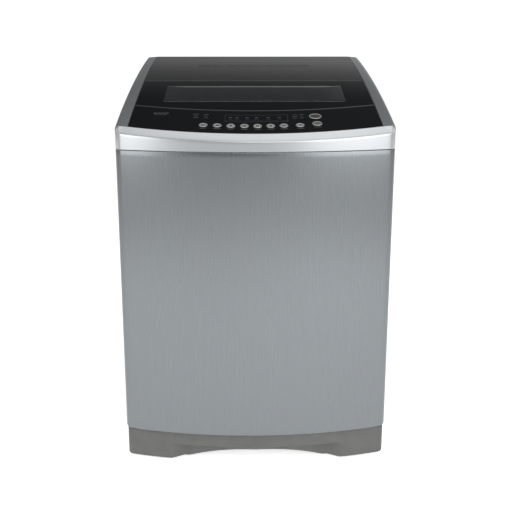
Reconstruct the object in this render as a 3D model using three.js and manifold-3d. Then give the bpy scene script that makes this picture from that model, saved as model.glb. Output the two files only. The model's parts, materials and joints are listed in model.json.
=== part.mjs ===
// A top load washing machine with a bowed steel front and a folding lid.
// Millimetres, +Z up, front facing -Y, origin on the floor at the middle of the plan.
import * as THREE from 'three';
import { mergeVertices } from 'three/addons/utils/BufferGeometryUtils.js';
import Module from 'manifold-3d';

const wasm = await Module();
wasm.setup();

// Driving dimensions.
const WIDTH = 600;
const FRONT_CORNER_Y = -279;
const BOW = 42;
const BACK_Y = 321;
const CORNER_RADIUS = 14;
const PLINTH_BOTTOM = 5;
const CABINET_BOTTOM = 71.3;
const CABINET_TOP = 721.7;
const SHEET = 1.2;
const GAP = 0.3;

// The top surface: one shallow parabola from the front edge to the back.
const CROWN_START = 768;
const CROWN_SLOPE = 0.315;
const CROWN_FALL = 0.000165;
const CROWN_STEPS = 12;
const CROWN_REACH = 330;

// The top frame, its pockets and the panels that fill them.
const WALL = 4;
const POCKET_HALF = 272;
const PANEL_FRONT = 13;
const PANEL_BACK = 130;
const PANEL_THICK = 3;
const SHALLOW_POCKET = PANEL_THICK + GAP;
const LID_POCKET = 20;
const LID_POCKET_BACK = 252.8;
const OPENING_RADIUS = 188;
const OPENING_Y = 30;
const COLLAR_BOTTOM = 748;

// The lid: two thin shells that fold at a middle pin and turn on two rear pins.
const LID_HALF = POCKET_HALF - 0.8;
const LID_FRONT = PANEL_BACK + 0.8;
const LID_BACK = 252;
const LID_THICK = 12;
const LID_WALL = 3;
const FOLD_Y = 20;
const FOLD_GAP = 0.4;
const HINGE_Y = LID_BACK - 4;
const HINGE_PIN = 2.6;
const KNUCKLE = 5;
const KNUCKLE_ROOM = 1.3;
const FOLD_PIN = 2.5;
const CENTRE_KNUCKLE = 40;
const SIDE_KNUCKLE = 80;

// The washing unit.
const TUB_Y = 20;
const TUB_RADIUS = 260;
const TUB_FLOOR = 190;
const TUB_TOP = 727.7;
const BASKET_RADIUS = 242;
const BASKET_WALL = 1.2;
const BASKET_FLOOR = 215;
const BASKET_TOP = 690;
const PULSATOR_RADIUS = 172;
const PULLEY_RADIUS = 75;
const MOTOR_PULLEY_RADIUS = 28;
const MOTOR_Y = TUB_Y + 132;
const BELT_BOTTOM = 84;
const BELT_TOP = 92;

// Suspension rods hang from gussets in the four corners of the cabinet.
const ROD_X = 228;
const ROD_FRONT_Y = -170;
const ROD_BACK_Y = 205;
const ROD_RADIUS = 4;
const GUSSET_Z = 700;
const GUSSET_THICK = 3;
const LUG_Z = 296;
const SPRING_BOTTOM = 214.3;

// Buttons: sideways place, distance behind the front edge, radius.
const SMALL_BUTTONS_X = [-112, -82, -53, -24, 4, 32, 60, 95];
const SMALL_BUTTON_ROW = 50;
const SMALL_BUTTON_RADIUS = 9.5;
const START_BUTTON = { x: 131, back: 92, radius: 14 };
const POWER_BUTTON = { x: 132, back: 54, radius: 11 };
const BUTTON_PROUD = 0.6;
const BUTTON_DEPTH = 2;

const FOOT_X = 252;
const FOOT_FRONT_Y = -250;
const FOOT_BACK_Y = 280;

// Lid window, rear slot and display, in plan.
const WINDOW_HALF = 210;
const WINDOW_FRONT = -134;
const WINDOW_BACK = -20;
const SLOT_HALF = 146;
const SLOT_FRONT = 168;
const SLOT_BACK = 184;
const SLOT_DEPTH = 4;
const DISPLAY_LEFT = -69;
const DISPLAY_RIGHT = 73;
const DISPLAY_FRONT = 70;
const DISPLAY_BACK = 110;
const DISPLAY_THICK = 1;

// The base.
const BAND_BOTTOM = 42;
const WEB_BOTTOM = BAND_BOTTOM;
const WEB_TOP = 46;
const LOBE_INNER_X = 207;
const LOBE_INNER_FRONT = -190;
const LOBE_INNER_BACK = 225;
const SKIRT_INSET = 30;
const SKIRT_BOTTOM = 17;
const PUMP_X = 185;
const PUMP_Y = -190;

// The back sheet and the fittings through it, by sideways place and radii.
const REAR_FACE = 306;
const FITTING_Z = 650;
const REAR_FITTINGS = [
  { name: 'cord_gland', x: -200, flange: 15, barrel: 10, bore: 4.5 },
  { name: 'drain_spigot', x: -130, flange: 21, barrel: 14, bore: 10.5 },
  { name: 'cold_inlet', x: 150, flange: 0, barrel: 12, bore: 8 },
  { name: 'hot_inlet', x: 192, flange: 0, barrel: 12, bore: 8 },
];

// The detergent drawer.
const DRAWER_FRONT = 220;
const DRAWER_BOTTOM = 802;
const DRAWER_TOP = 842;

// The front bow is a circle through both front corners and the middle of the front.
const BOW_RADIUS = ((WIDTH / 2) ** 2 + BOW ** 2) / (2 * BOW);
const BOW_CENTRE_Y = FRONT_CORNER_Y - BOW + BOW_RADIUS;

const finishes = {
  steel: { color: 0x9aa0a4, roughness: 0.35, metalness: 0.9 },
  silver: { color: 0xb4b8bb, roughness: 0.4, metalness: 0.3 },
  gloss: { color: 0x111214, roughness: 0.12, metalness: 0 },
  smoke: { color: 0x202224, roughness: 0.08, metalness: 0 },
  charcoal: { color: 0x3c3f42, roughness: 0.4, metalness: 0 },
  grey: { color: 0x5e6062, roughness: 0.6, metalness: 0 },
  button: { color: 0xa8acaf, roughness: 0.35, metalness: 0.5 },
  zinc: { color: 0x8f9496, roughness: 0.5, metalness: 0.8 },
  stainless: { color: 0xb9bcbe, roughness: 0.3, metalness: 0.95 },
  white: { color: 0xe4e5e3, roughness: 0.5, metalness: 0 },
  rubber: { color: 0x1a1a1b, roughness: 0.9, metalness: 0 },
  board: { color: 0x1f4d2c, roughness: 0.6, metalness: 0 },
};

const machine = new THREE.Group();

// ---- joining and cutting ----

function toSolid(geometry) {
  const bare = geometry.index ? geometry.toNonIndexed() : geometry.clone();
  bare.deleteAttribute('normal');
  bare.deleteAttribute('uv');
  const merged = mergeVertices(bare, 1e-4);
  const vertProperties = new Float32Array(merged.attributes.position.array);
  const triVerts = new Uint32Array(merged.index.array);
  return new wasm.Manifold(new wasm.Mesh({ numProp: 3, vertProperties, triVerts }));
}

function toGeometry(body) {
  const mesh = body.getMesh();
  const geometry = new THREE.BufferGeometry();
  geometry.setAttribute('position', new THREE.BufferAttribute(mesh.vertProperties, 3));
  geometry.setIndex(new THREE.BufferAttribute(mesh.triVerts, 1));
  return geometry;
}

function join(bodies) {
  return bodies.reduce((whole, body) => whole.add(body));
}

function cut(body, tools) {
  return tools.reduce((rest, tool) => rest.subtract(tool), body);
}

function addPart(name, finish, body) {
  const mesh = new THREE.Mesh(toGeometry(body), new THREE.MeshStandardMaterial(finishes[finish]));
  mesh.name = name;
  machine.add(mesh);
}

// ---- basic bodies ----

function block(x0, x1, y0, y1, z0, z1) {
  const geometry = new THREE.BoxGeometry(x1 - x0, y1 - y0, z1 - z0);
  geometry.translate((x0 + x1) / 2, (y0 + y1) / 2, (z0 + z1) / 2);
  return toSolid(geometry);
}

function post(x, y, radius, z0, z1, sides = 16) {
  const geometry = new THREE.CylinderGeometry(radius, radius, z1 - z0, sides);
  geometry.rotateX(Math.PI / 2);
  geometry.translate(x, y, (z0 + z1) / 2);
  return toSolid(geometry);
}

// A round bar along X.
function crossBar(y, z, radius, x0, x1, sides = 12) {
  const geometry = new THREE.CylinderGeometry(radius, radius, x1 - x0, sides);
  geometry.rotateZ(Math.PI / 2);
  geometry.translate((x0 + x1) / 2, y, z);
  return toSolid(geometry);
}

// A body turned about a vertical axis from [radius, height] corners, listed with the outside going up.
function turned(profile, x, y, segments = 32) {
  const points = profile.map(([radius, height]) => new THREE.Vector2(radius, height));
  const geometry = new THREE.LatheGeometry(points, segments);
  geometry.rotateX(Math.PI / 2);
  geometry.translate(x, y, 0);
  return toSolid(geometry);
}

// A ring of rectangular section.
function ring(inner, outer, z0, z1, x, y, segments = 32) {
  const profile = [[inner, z0], [outer, z0], [outer, z1], [inner, z1], [inner, z0]];
  return turned(profile, x, y, segments);
}

// A body turned about an axis along Y, with heights measured along Y.
function turnedAlongY(profile, x, z, segments = 12) {
  const points = profile.map(([radius, along]) => new THREE.Vector2(radius, along));
  const geometry = new THREE.LatheGeometry(points, segments);
  geometry.translate(x, 0, z);
  return toSolid(geometry);
}

function upright(outline, z0, z1) {
  const settings = { depth: z1 - z0, bevelEnabled: false };
  const geometry = new THREE.ExtrudeGeometry(new THREE.Shape(outline), settings);
  geometry.translate(0, 0, z0);
  return toSolid(geometry);
}

// A profile of (y, z) points carried along X.
function acrossX(profile, x0, x1) {
  const settings = { depth: x1 - x0, bevelEnabled: false };
  const geometry = new THREE.ExtrudeGeometry(new THREE.Shape(profile), settings);
  const turn = new THREE.Matrix4().makeBasis(
    new THREE.Vector3(0, 1, 0),
    new THREE.Vector3(0, 0, 1),
    new THREE.Vector3(1, 0, 0),
  );
  geometry.applyMatrix4(turn);
  geometry.translate(x0, 0, 0);
  return toSolid(geometry);
}

// ---- outlines ----

function arc(x, y, radius, from, to, steps) {
  const points = [];
  for (let i = 0; i <= steps; i += 1) {
    const angle = from + ((to - from) * i) / steps;
    points.push(new THREE.Vector2(x + radius * Math.cos(angle), y + radius * Math.sin(angle)));
  }
  return points;
}

// The front line of the bow, moved back by a distance.
function bowY(x, back) {
  return BOW_CENTRE_Y + back - Math.sqrt(BOW_RADIUS ** 2 - x ** 2);
}

// The cabinet's plan with rounded corners, drawn in by a distance on all sides.
function cabinetOutline(inset, steps = 12) {
  const half = WIDTH / 2 - inset;
  const back = BACK_Y - inset;
  const radius = Math.max(CORNER_RADIUS - inset, 2);
  const bow = BOW_RADIUS - inset;
  const cornerX = half - radius;
  const cornerY = BOW_CENTRE_Y - Math.sqrt((bow - radius) ** 2 - cornerX ** 2);
  const turn = Math.atan2(cornerY - BOW_CENTRE_Y, cornerX);
  return [
    ...arc(0, BOW_CENTRE_Y, bow, -Math.PI - turn, turn, steps),
    ...arc(cornerX, cornerY, radius, turn, 0, 4).slice(1),
    ...arc(cornerX, back - radius, radius, 0, Math.PI / 2, 4),
    ...arc(-cornerX, back - radius, radius, Math.PI / 2, Math.PI, 4),
    ...arc(-cornerX, cornerY, radius, Math.PI, Math.PI - turn, 4).slice(0, -1),
  ];
}

// A plan with a bowed front and bowed or straight back.
function panelOutline(left, right, front, back, straightBack = true) {
  const steps = 12;
  const frontLine = [];
  const backLine = [];
  for (let i = 0; i <= steps; i += 1) {
    const x = left + ((right - left) * i) / steps;
    frontLine.push(new THREE.Vector2(x, bowY(x, front)));
    backLine.unshift(new THREE.Vector2(x, bowY(x, back)));
  }
  if (straightBack) {
    return [...frontLine, new THREE.Vector2(right, back), new THREE.Vector2(left, back)];
  }
  return [...frontLine, ...backLine];
}

function rectangle(x0, x1, y0, y1) {
  return [[x0, y0], [x1, y0], [x1, y1], [x0, y1]].map(([x, y]) => new THREE.Vector2(x, y));
}

// ---- the crowned top surface ----

function crownZ(y) {
  const s = y - FRONT_CORNER_Y;
  return CROWN_START + CROWN_SLOPE * s - CROWN_FALL * s * s;
}

function crownAngle(y) {
  return Math.atan(CROWN_SLOPE - 2 * CROWN_FALL * (y - FRONT_CORNER_Y));
}

// Everything between two heights, each a function of y, across the whole width.
function layer(bottomAt, topAt) {
  const bottom = [];
  const top = [];
  for (let i = 0; i <= CROWN_STEPS; i += 1) {
    const y = -CROWN_REACH + (2 * CROWN_REACH * i) / CROWN_STEPS;
    bottom.push(new THREE.Vector2(y, bottomAt(y)));
    top.unshift(new THREE.Vector2(y, topAt(y)));
  }
  return acrossX([...bottom, ...top], -WIDTH, WIDTH);
}

// The part of an upright outline between two depths below the crown.
function crowned(outline, topDepth, bottomDepth) {
  const tall = upright(outline, CABINET_TOP - 60, crownZ(BACK_Y) + 60);
  return tall.intersect(layer((y) => crownZ(y) - bottomDepth, (y) => crownZ(y) - topDepth));
}

// The part of an upright outline from a flat bottom up to a depth below the crown.
function underCrown(outline, bottom, topDepth) {
  const tall = upright(outline, bottom, crownZ(BACK_Y) + 60);
  return tall.intersect(layer(() => bottom - 1, (y) => crownZ(y) - topDepth));
}

// ---- cabinet ----

function atCorner(x, y, size) {
  const reach = 400;
  const x0 = x > 0 ? x - size : -reach;
  const x1 = x > 0 ? reach : x + size;
  const y0 = y > 0 ? y - size : -reach;
  const y1 = y > 0 ? reach : y + size;
  return [x0, x1, y0, y1];
}

function rodPlaces() {
  return [
    ['front_left', -ROD_X, ROD_FRONT_Y],
    ['front_right', ROD_X, ROD_FRONT_Y],
    ['back_left', -ROD_X, ROD_BACK_Y],
    ['back_right', ROD_X, ROD_BACK_Y],
  ];
}

// The steel wrap: front and sides with a short return at the back, and a gusset in each corner.
function cabinetWrap() {
  const outside = upright(cabinetOutline(0), CABINET_BOTTOM, CABINET_TOP);
  const inside = upright(cabinetOutline(SHEET), CABINET_BOTTOM - 1, CABINET_TOP + 1);
  const backOpening = block(-268, 268, 300, BACK_Y + 1, CABINET_BOTTOM - 1, CABINET_TOP + 1);
  const parts = [cut(outside, [inside, backOpening])];
  const gussetTop = GUSSET_Z + GUSSET_THICK;
  for (const [, x, y] of rodPlaces()) {
    const corner = block(...atCorner(x, y, 26), GUSSET_Z, gussetTop);
    const plate = upright(cabinetOutline(1), GUSSET_Z, gussetTop).intersect(corner);
    const tubRoom = post(0, TUB_Y, TUB_RADIUS + 15, GUSSET_Z - 1, gussetTop + 1, 32);
    const rodHole = post(x, y, ROD_RADIUS + 1, GUSSET_Z - 1, gussetTop + 1, 12);
    const rearRoom = block(-282, 282, 299, BACK_Y + 2, GUSSET_Z - 1, gussetTop + 1);
    parts.push(cut(plate, [tubRoom, rodHole, rearRoom]));
  }
  return join(parts);
}

// The back sheet: a tray whose edges lie behind the wrap's returns and whose middle is set in.
function rearPanel() {
  const edge = BACK_Y - SHEET - GAP;
  const face = REAR_FACE - SHEET;
  const inner = edge - SHEET;
  const front = [[-280, inner], [-262, inner], [-258, face], [258, face], [262, inner], [280, inner]];
  const back = [[280, edge], [261, edge], [257, REAR_FACE], [-257, REAR_FACE], [-261, edge], [-280, edge]];
  const profile = [...front, ...back].map(([x, y]) => new THREE.Vector2(x, y));
  const holes = REAR_FITTINGS.map(({ x, barrel }) => {
    return turnedAlongY([[0, 290], [barrel + GAP, 290], [barrel + GAP, 320], [0, 320]], x, FITTING_Z);
  });
  return cut(upright(profile, CABINET_BOTTOM, CABINET_TOP), holes);
}

// A tube through the back sheet with a flange on its outer face.
function rearFitting({ x, flange, barrel, bore }) {
  const face = REAR_FACE + GAP;
  const profile = [
    [bore, 288], [barrel, 288], [barrel, face], [flange, face], [flange, face + 3],
    [barrel - 1, face + 3], [barrel - 1, 319], [bore, 319], [bore, 288],
  ];
  return turnedAlongY(profile, x, FITTING_Z);
}

// The water valve: a block inside the cabinet with two threaded necks through the back sheet.
function inletValve() {
  const body = block(128, 214, 262, REAR_FACE - 2 - GAP, FITTING_Z - 20, FITTING_Z + 20);
  const necks = [];
  const bores = [];
  for (const { x, flange, barrel, bore } of REAR_FITTINGS) {
    if (flange === 0) {
      necks.push(turnedAlongY([[0, 290], [barrel, 290], [barrel, 319.5], [0, 319.5]], x, FITTING_Z));
      bores.push(turnedAlongY([[0, 280], [bore, 280], [bore, 321], [0, 321]], x, FITTING_Z));
    }
  }
  return cut(join([body, ...necks]), bores);
}

// A small plate over the drive, held to the back sheet.
function serviceCover() {
  return block(-110, 110, REAR_FACE + GAP, REAR_FACE + 3, 150, 360);
}

function levellingFoot(x, y) {
  const profile = [
    [0, 0], [21, 0], [21, 5], [6, 12], [6, 31],
    [10, 31], [10, WEB_BOTTOM - GAP], [6, WEB_BOTTOM - GAP], [6, 60], [0, 60],
  ];
  return turned(profile, x, y, 12);
}

// The moulded base: a bowed band, four corner lobes, and skirts set back between the lobes.
function plinth() {
  const band = upright(cabinetOutline(3), BAND_BOTTOM, CABINET_BOTTOM - GAP);
  const hollow = upright(cabinetOutline(8), BAND_BOTTOM - 1, CABINET_BOTTOM + 1);
  const parts = [cut(band, [hollow])];

  const lobeOutside = upright(cabinetOutline(3), PLINTH_BOTTOM, WEB_TOP);
  const lobeInside = upright(cabinetOutline(8), PLINTH_BOTTOM - 1, WEB_TOP + 1);
  const betweenX = block(-LOBE_INNER_X, LOBE_INNER_X, -400, 400, 0, 100);
  const betweenY = block(-400, 400, LOBE_INNER_FRONT, LOBE_INNER_BACK, 0, 100);
  parts.push(cut(lobeOutside, [lobeInside, betweenX, betweenY]));

  // A web under the band carries the skirts and, at the corners, the feet.
  const web = upright(cabinetOutline(5), BAND_BOTTOM, WEB_TOP);
  const middle = block(-250, 250, -140, 170, 0, 100);
  const across = upright(panelOutline(-140, 140, SKIRT_INSET + 6, 278), 0, 100);
  const footHoles = feet().map(([, x, y]) => post(x, y, 6.4, 0, 100, 16));
  parts.push(cut(web, [middle, across, ...footHoles]));

  // Skirts with a low arch, running from lobe to lobe.
  const skirtOutside = upright(cabinetOutline(SKIRT_INSET), SKIRT_BOTTOM, WEB_TOP);
  const skirtInside = upright(cabinetOutline(SKIRT_INSET + 4), 0, 100);
  const skirt = cut(skirtOutside, [skirtInside]);
  const frontPart = block(-LOBE_INNER_X - 5, LOBE_INNER_X + 5, -400, 400, 0, 100);
  const sidePart = block(-400, 400, LOBE_INNER_FRONT - 5, LOBE_INNER_BACK + 5, 0, 100);
  parts.push(cut(skirt.intersect(frontPart), [archTool()]));
  const sideArch = block(-400, 400, LOBE_INNER_FRONT + 30, LOBE_INNER_BACK - 30, 0, 30);
  parts.push(cut(skirt.intersect(sidePart), [sideArch]));

  // The inner faces of the lobes.
  const lobeWalls = [];
  for (const side of [-1, 1]) {
    const [x0, x1] = [side * LOBE_INNER_X, side * (LOBE_INNER_X + 4)].sort((a, b) => a - b);
    lobeWalls.push(block(x0, x1, -400, 400, PLINTH_BOTTOM, WEB_TOP));
  }
  for (const [y0, y1] of [[LOBE_INNER_FRONT - 4, LOBE_INNER_FRONT], [LOBE_INNER_BACK, LOBE_INNER_BACK + 4]]) {
    lobeWalls.push(block(-400, 400, y0, y1, PLINTH_BOTTOM, WEB_TOP));
  }
  const rim = cut(upright(cabinetOutline(4), 0, 100), [upright(cabinetOutline(SKIRT_INSET + 3), 0, 101)]);
  parts.push(join(lobeWalls).intersect(rim));
  return join(parts);
}

// The room under the front and back skirts: a low arch across the middle.
function archTool() {
  const half = LOBE_INNER_X - 20;
  const rise = 14;
  const radius = (half ** 2 + rise ** 2) / (2 * rise);
  const centre = SKIRT_BOTTOM + rise - radius;
  const start = Math.acos(half / radius);
  const points = arc(0, centre, radius, start, Math.PI - start, 12);
  const geometry = new THREE.ExtrudeGeometry(
    new THREE.Shape([...points, new THREE.Vector2(-half, -20), new THREE.Vector2(half, -20)]),
    { depth: 800, bevelEnabled: false },
  );
  geometry.rotateX(Math.PI / 2);
  geometry.translate(0, 400, 0);
  return toSolid(geometry);
}

function feet() {
  return [
    ['front_left', -FOOT_X, FOOT_FRONT_Y],
    ['front_right', FOOT_X, FOOT_FRONT_Y],
    ['back_left', -FOOT_X, FOOT_BACK_Y],
    ['back_right', FOOT_X, FOOT_BACK_Y],
  ];
}

// ---- top frame and control panel ----

// The moulded top: fascia, side rails, the well that the lid lies in, and the ledges under both panels.
function topFrame() {
  const outside = underCrown(cabinetOutline(0), CABINET_TOP + GAP, 0);
  const inside = underCrown(cabinetOutline(WALL), CABINET_TOP - 1, WALL);
  const plans = [
    { front: PANEL_FRONT, back: PANEL_BACK + 0.4, straight: false, depth: SHALLOW_POCKET },
    { front: PANEL_BACK, back: LID_POCKET_BACK, straight: true, depth: LID_POCKET },
  ];
  const ledges = [];
  const wells = [];
  for (const { front, back, straight, depth } of plans) {
    const around = panelOutline(-POCKET_HALF - WALL, POCKET_HALF + WALL, front - WALL, back + WALL, straight);
    ledges.push(crowned(around, -10, depth + WALL));
    wells.push(crowned(panelOutline(-POCKET_HALF, POCKET_HALF, front, back, straight), -20, depth));
  }
  const consoleAround = rectangle(-POCKET_HALF - WALL, POCKET_HALF + WALL, LID_POCKET_BACK, BACK_Y);
  ledges.push(crowned(consoleAround, -10, SHALLOW_POCKET + WALL));
  const consolePlan = rectangle(-POCKET_HALF, POCKET_HALF, LID_POCKET_BACK - 1, BACK_Y - WALL);
  wells.push(crowned(consolePlan, -20, SHALLOW_POCKET));
  const cavity = cut(inside, ledges);
  const opening = post(0, OPENING_Y, OPENING_RADIUS, 700, 950, 48);
  const pinBores = [-1, 1].map((side) => {
    const ends = [side * (POCKET_HALF - 2), side * (POCKET_HALF + 10)];
    return crossBar(HINGE_Y, hingeZ(), HINGE_PIN + GAP, Math.min(...ends), Math.max(...ends));
  });
  return cut(outside, [cavity, ...wells, opening, ...pinBores]);
}

// A collar that leads from the lid well down to the tub, with a gap for the drawer at the back.
function openingCollar() {
  const tall = ring(OPENING_RADIUS - 4, OPENING_RADIUS - GAP, COLLAR_BOTTOM, 950, 0, OPENING_Y, 48);
  const trimmed = tall.intersect(layer(() => 700, (y) => crownZ(y) - LID_POCKET));
  return cut(trimmed, [block(-74, 74, 150, 260, DRAWER_BOTTOM - 4, DRAWER_TOP + 4)]);
}

// A body pushed square into the crowned surface: heights are measured from the surface.
function buttonBody(x, y, radius, low, high, sides = 14) {
  const geometry = new THREE.CylinderGeometry(radius, radius, high - low, sides);
  geometry.translate(0, (low + high) / 2, 0);
  geometry.rotateX(Math.PI / 2 + crownAngle(y));
  geometry.translate(x, y, crownZ(y));
  return toSolid(geometry);
}

function buttons() {
  const row = SMALL_BUTTONS_X.map((x, i) => {
    return { name: `program_button_${i + 1}`, x, back: SMALL_BUTTON_ROW, radius: SMALL_BUTTON_RADIUS };
  });
  const large = [{ name: 'start_button', ...START_BUTTON }, { name: 'power_button', ...POWER_BUTTON }];
  return [...row, ...large].map((button) => ({ ...button, y: bowY(button.x, button.back) }));
}

function controlPanel() {
  const outline = panelOutline(-LID_HALF, LID_HALF, PANEL_FRONT + GAP, PANEL_BACK - GAP, false);
  const plate = crowned(outline, 0, PANEL_THICK);
  const window = crowned(displayOutline(GAP), -5, DISPLAY_THICK + GAP);
  const holes = buttons().map(({ x, y, radius }) => buttonBody(x, y, radius + 0.4, -8, 8));
  return cut(plate, [window, ...holes]);
}

function displayOutline(growth) {
  const front = DISPLAY_FRONT - growth;
  return panelOutline(DISPLAY_LEFT - growth, DISPLAY_RIGHT + growth, front, DISPLAY_BACK + growth, false);
}

// The circuit board under the panel, on four posts that reach the underside of its ledge.
function controlBoard() {
  const outline = panelOutline(-150, 170, 24, 112, false);
  const plate = crowned(outline, 22, 24);
  const posts = [];
  for (const x of [-140, 160]) {
    for (const back of [32, 104]) {
      const outlineOfPost = arc(x, bowY(x, back), 4, 0, 2 * Math.PI, 12).slice(0, -1);
      posts.push(crowned(outlineOfPost, SHALLOW_POCKET + WALL + GAP, 23));
    }
  }
  return join([plate, ...posts]);
}

function rearConsole() {
  return crowned(rectangle(-LID_HALF, LID_HALF, LID_POCKET_BACK + GAP, BACK_Y - WALL - GAP), 0, PANEL_THICK);
}

// ---- lid ----

function hingeZ() {
  return crownZ(HINGE_Y) - (LID_BACK - HINGE_Y);
}

function foldZ() {
  return crownZ(FOLD_Y) - LID_THICK;
}

// A thin tray turned upside down: a crowned top with a wall all round.
function lidShell(front, back, bowed) {
  const plan = (inset) => {
    const half = LID_HALF - inset;
    if (bowed) {
      return panelOutline(-half, half, front + inset, back - inset);
    }
    return rectangle(-half, half, front + inset, back - inset);
  };
  return cut(crowned(plan(0), 0, LID_THICK), [crowned(plan(LID_WALL), LID_WALL, LID_THICK + 5)]);
}

function foldKnuckles(spans, radius) {
  return spans.map(([x0, x1]) => crossBar(FOLD_Y, foldZ(), radius, x0, x1));
}

const REAR_KNUCKLES = [[-CENTRE_KNUCKLE, CENTRE_KNUCKLE]];
const FRONT_KNUCKLES = [
  [-SIDE_KNUCKLE, -CENTRE_KNUCKLE - 0.6],
  [CENTRE_KNUCKLE + KNUCKLE_ROOM, SIDE_KNUCKLE],
];

function widened(spans) {
  return spans.map(([x0, x1]) => [x0 - 0.4, x1 + 0.4]);
}

// The half that folds: a frame round the window, with a finger lip at its front.
function lidFront() {
  const shell = lidShell(LID_FRONT, FOLD_Y - FOLD_GAP, true);
  const window = crowned(windowOutline(0), -10, 30);
  const knuckles = foldKnuckles(FRONT_KNUCKLES, KNUCKLE);
  const relief = foldKnuckles(widened(REAR_KNUCKLES), KNUCKLE + KNUCKLE_ROOM);
  const windowRim = crowned(windowOutline(-3), 0, LID_THICK - 4);
  const whole = join([cut(shell, relief), cut(windowRim, [window]), ...knuckles]);
  return cut(whole, [window, crossBar(FOLD_Y, foldZ(), FOLD_PIN + GAP, -100, 100)]);
}

// The window's plan; a negative inset makes it larger.
function windowOutline(inset) {
  const half = WINDOW_HALF - inset;
  return rectangle(-half, half, WINDOW_FRONT + inset, WINDOW_BACK - inset);
}

function lidWindow() {
  return crowned(windowOutline(GAP), 0, 3);
}

// The half that is hinged to the frame: its rear edge is rounded about the hinge line.
function lidRear() {
  const shell = lidShell(FOLD_Y + FOLD_GAP, LID_BACK, false);
  const axis = hingeZ();
  const radius = LID_BACK - HINGE_Y;
  const edge = block(-400, 400, HINGE_Y, LID_BACK + 1, axis, axis + 20);
  const roll = crossBar(HINGE_Y, axis, radius, -LID_HALF, LID_HALF, 24);
  const bosses = [-1, 1].map((side) => {
    const ends = [side * (LID_HALF - 14), side * LID_HALF];
    return crossBar(HINGE_Y, axis, radius + 1, Math.min(...ends), Math.max(...ends));
  });
  const bossRoom = block(-400, 400, HINGE_Y - 20, HINGE_Y + 20, axis, axis + 20);
  const behind = block(-400, 400, 200, LID_BACK, 700, 950);
  const lowBosses = bosses.map((boss) => cut(boss, [bossRoom]).intersect(behind));
  const slot = crowned(slotOutline(0), -10, SLOT_DEPTH + GAP);
  const slotFloor = crowned(slotOutline(-3), 0, SLOT_DEPTH + LID_WALL);
  const knuckles = foldKnuckles(REAR_KNUCKLES, KNUCKLE);
  const relief = foldKnuckles(widened(FRONT_KNUCKLES), KNUCKLE + KNUCKLE_ROOM);
  const whole = join([cut(shell, [edge, ...relief]), roll, ...lowBosses, slotFloor, ...knuckles]);
  const pinBores = [-1, 1].map((side) => {
    const ends = [side * (LID_HALF - 12), side * (LID_HALF + 2)];
    return crossBar(HINGE_Y, axis, HINGE_PIN + GAP, Math.min(...ends), Math.max(...ends));
  });
  return cut(whole, [slot, crossBar(FOLD_Y, foldZ(), FOLD_PIN + GAP, -100, 100), ...pinBores]);
}

function slotOutline(inset) {
  const half = SLOT_HALF - inset;
  return rectangle(-half, half, SLOT_FRONT + inset, SLOT_BACK - inset);
}

// A black strip that lies sunk in the slot.
function slotInsert() {
  return crowned(slotOutline(GAP), SLOT_DEPTH - 2, SLOT_DEPTH);
}

function hingePin(side) {
  const ends = [side * (LID_HALF - 11.5), side * (POCKET_HALF + 9)];
  return crossBar(HINGE_Y, hingeZ(), HINGE_PIN, Math.min(...ends), Math.max(...ends));
}

// ---- washing unit ----

// The outer tub: a plain drum with a floor and four lugs that ride on the suspension rods.
function outerTub() {
  const inner = TUB_RADIUS - 4;
  const profile = [
    [22, TUB_FLOOR], [TUB_RADIUS - 6, TUB_FLOOR], [TUB_RADIUS, TUB_FLOOR + 8], [TUB_RADIUS, TUB_TOP],
    [inner, TUB_TOP], [inner, TUB_FLOOR + 9], [inner - 5, TUB_FLOOR + 4], [22, TUB_FLOOR + 4],
    [22, TUB_FLOOR],
  ];
  const drum = turned(profile, 0, TUB_Y, 40);
  const lugs = rodPlaces().map(([, x, y]) => {
    const reach = Math.hypot(x, y - TUB_Y);
    const arm = new THREE.BoxGeometry(reach - TUB_RADIUS + 1, 26, 12);
    arm.translate((reach + TUB_RADIUS - 1) / 2, 0, LUG_Z + 6);
    arm.rotateZ(Math.atan2(y - TUB_Y, x));
    arm.translate(0, TUB_Y, 0);
    const eye = post(x, y, 13, LUG_Z, LUG_Z + 12, 12);
    return cut(join([toSolid(arm), eye]), [post(x, y, ROD_RADIUS + 2, LUG_Z - 1, LUG_Z + 13, 12)]);
  });
  return join([drum, ...lugs]);
}

function tubCoverRing() {
  const low = TUB_TOP - 16;
  const high = TUB_TOP + 5;
  const inside = TUB_RADIUS + GAP;
  const profile = [
    [228, TUB_TOP + GAP], [inside, TUB_TOP + GAP], [inside, low], [266, low], [266, high], [228, high],
    [228, TUB_TOP + GAP],
  ];
  return turned(profile, 0, TUB_Y, 40);
}

function basket() {
  const inner = BASKET_RADIUS - BASKET_WALL;
  const profile = [
    [12, BASKET_FLOOR], [BASKET_RADIUS - 12, BASKET_FLOOR], [BASKET_RADIUS, BASKET_FLOOR + 12],
    [BASKET_RADIUS, BASKET_TOP], [inner, BASKET_TOP], [inner, BASKET_FLOOR + 13],
    [inner - 11, BASKET_FLOOR + 2], [12, BASKET_FLOOR + 2], [12, BASKET_FLOOR],
  ];
  return turned(profile, 0, TUB_Y, 40);
}

function balanceRing() {
  const low = BASKET_TOP + GAP;
  const profile = [
    [222, low + 6], [230, low], [246, low], [246, low + 24], [236, low + 31], [222, low + 22], [222, low + 6],
  ];
  return turned(profile, 0, TUB_Y, 40);
}

// The flange under the basket and the tube that drives it.
function basketHub() {
  const profile = [
    [11, 120], [16, 120], [16, 203], [110, 203], [110, BASKET_FLOOR - GAP], [11, BASKET_FLOOR - GAP],
    [11, 120],
  ];
  return turned(profile, 0, TUB_Y);
}

// A pocket for lint that follows the basket's wall.
function lintFilter() {
  const body = block(-32, 32, TUB_Y + 222, TUB_Y + 250, 400, 520);
  return body.intersect(post(0, TUB_Y, BASKET_RADIUS - BASKET_WALL - 1, 390, 530, 112));
}

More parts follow.
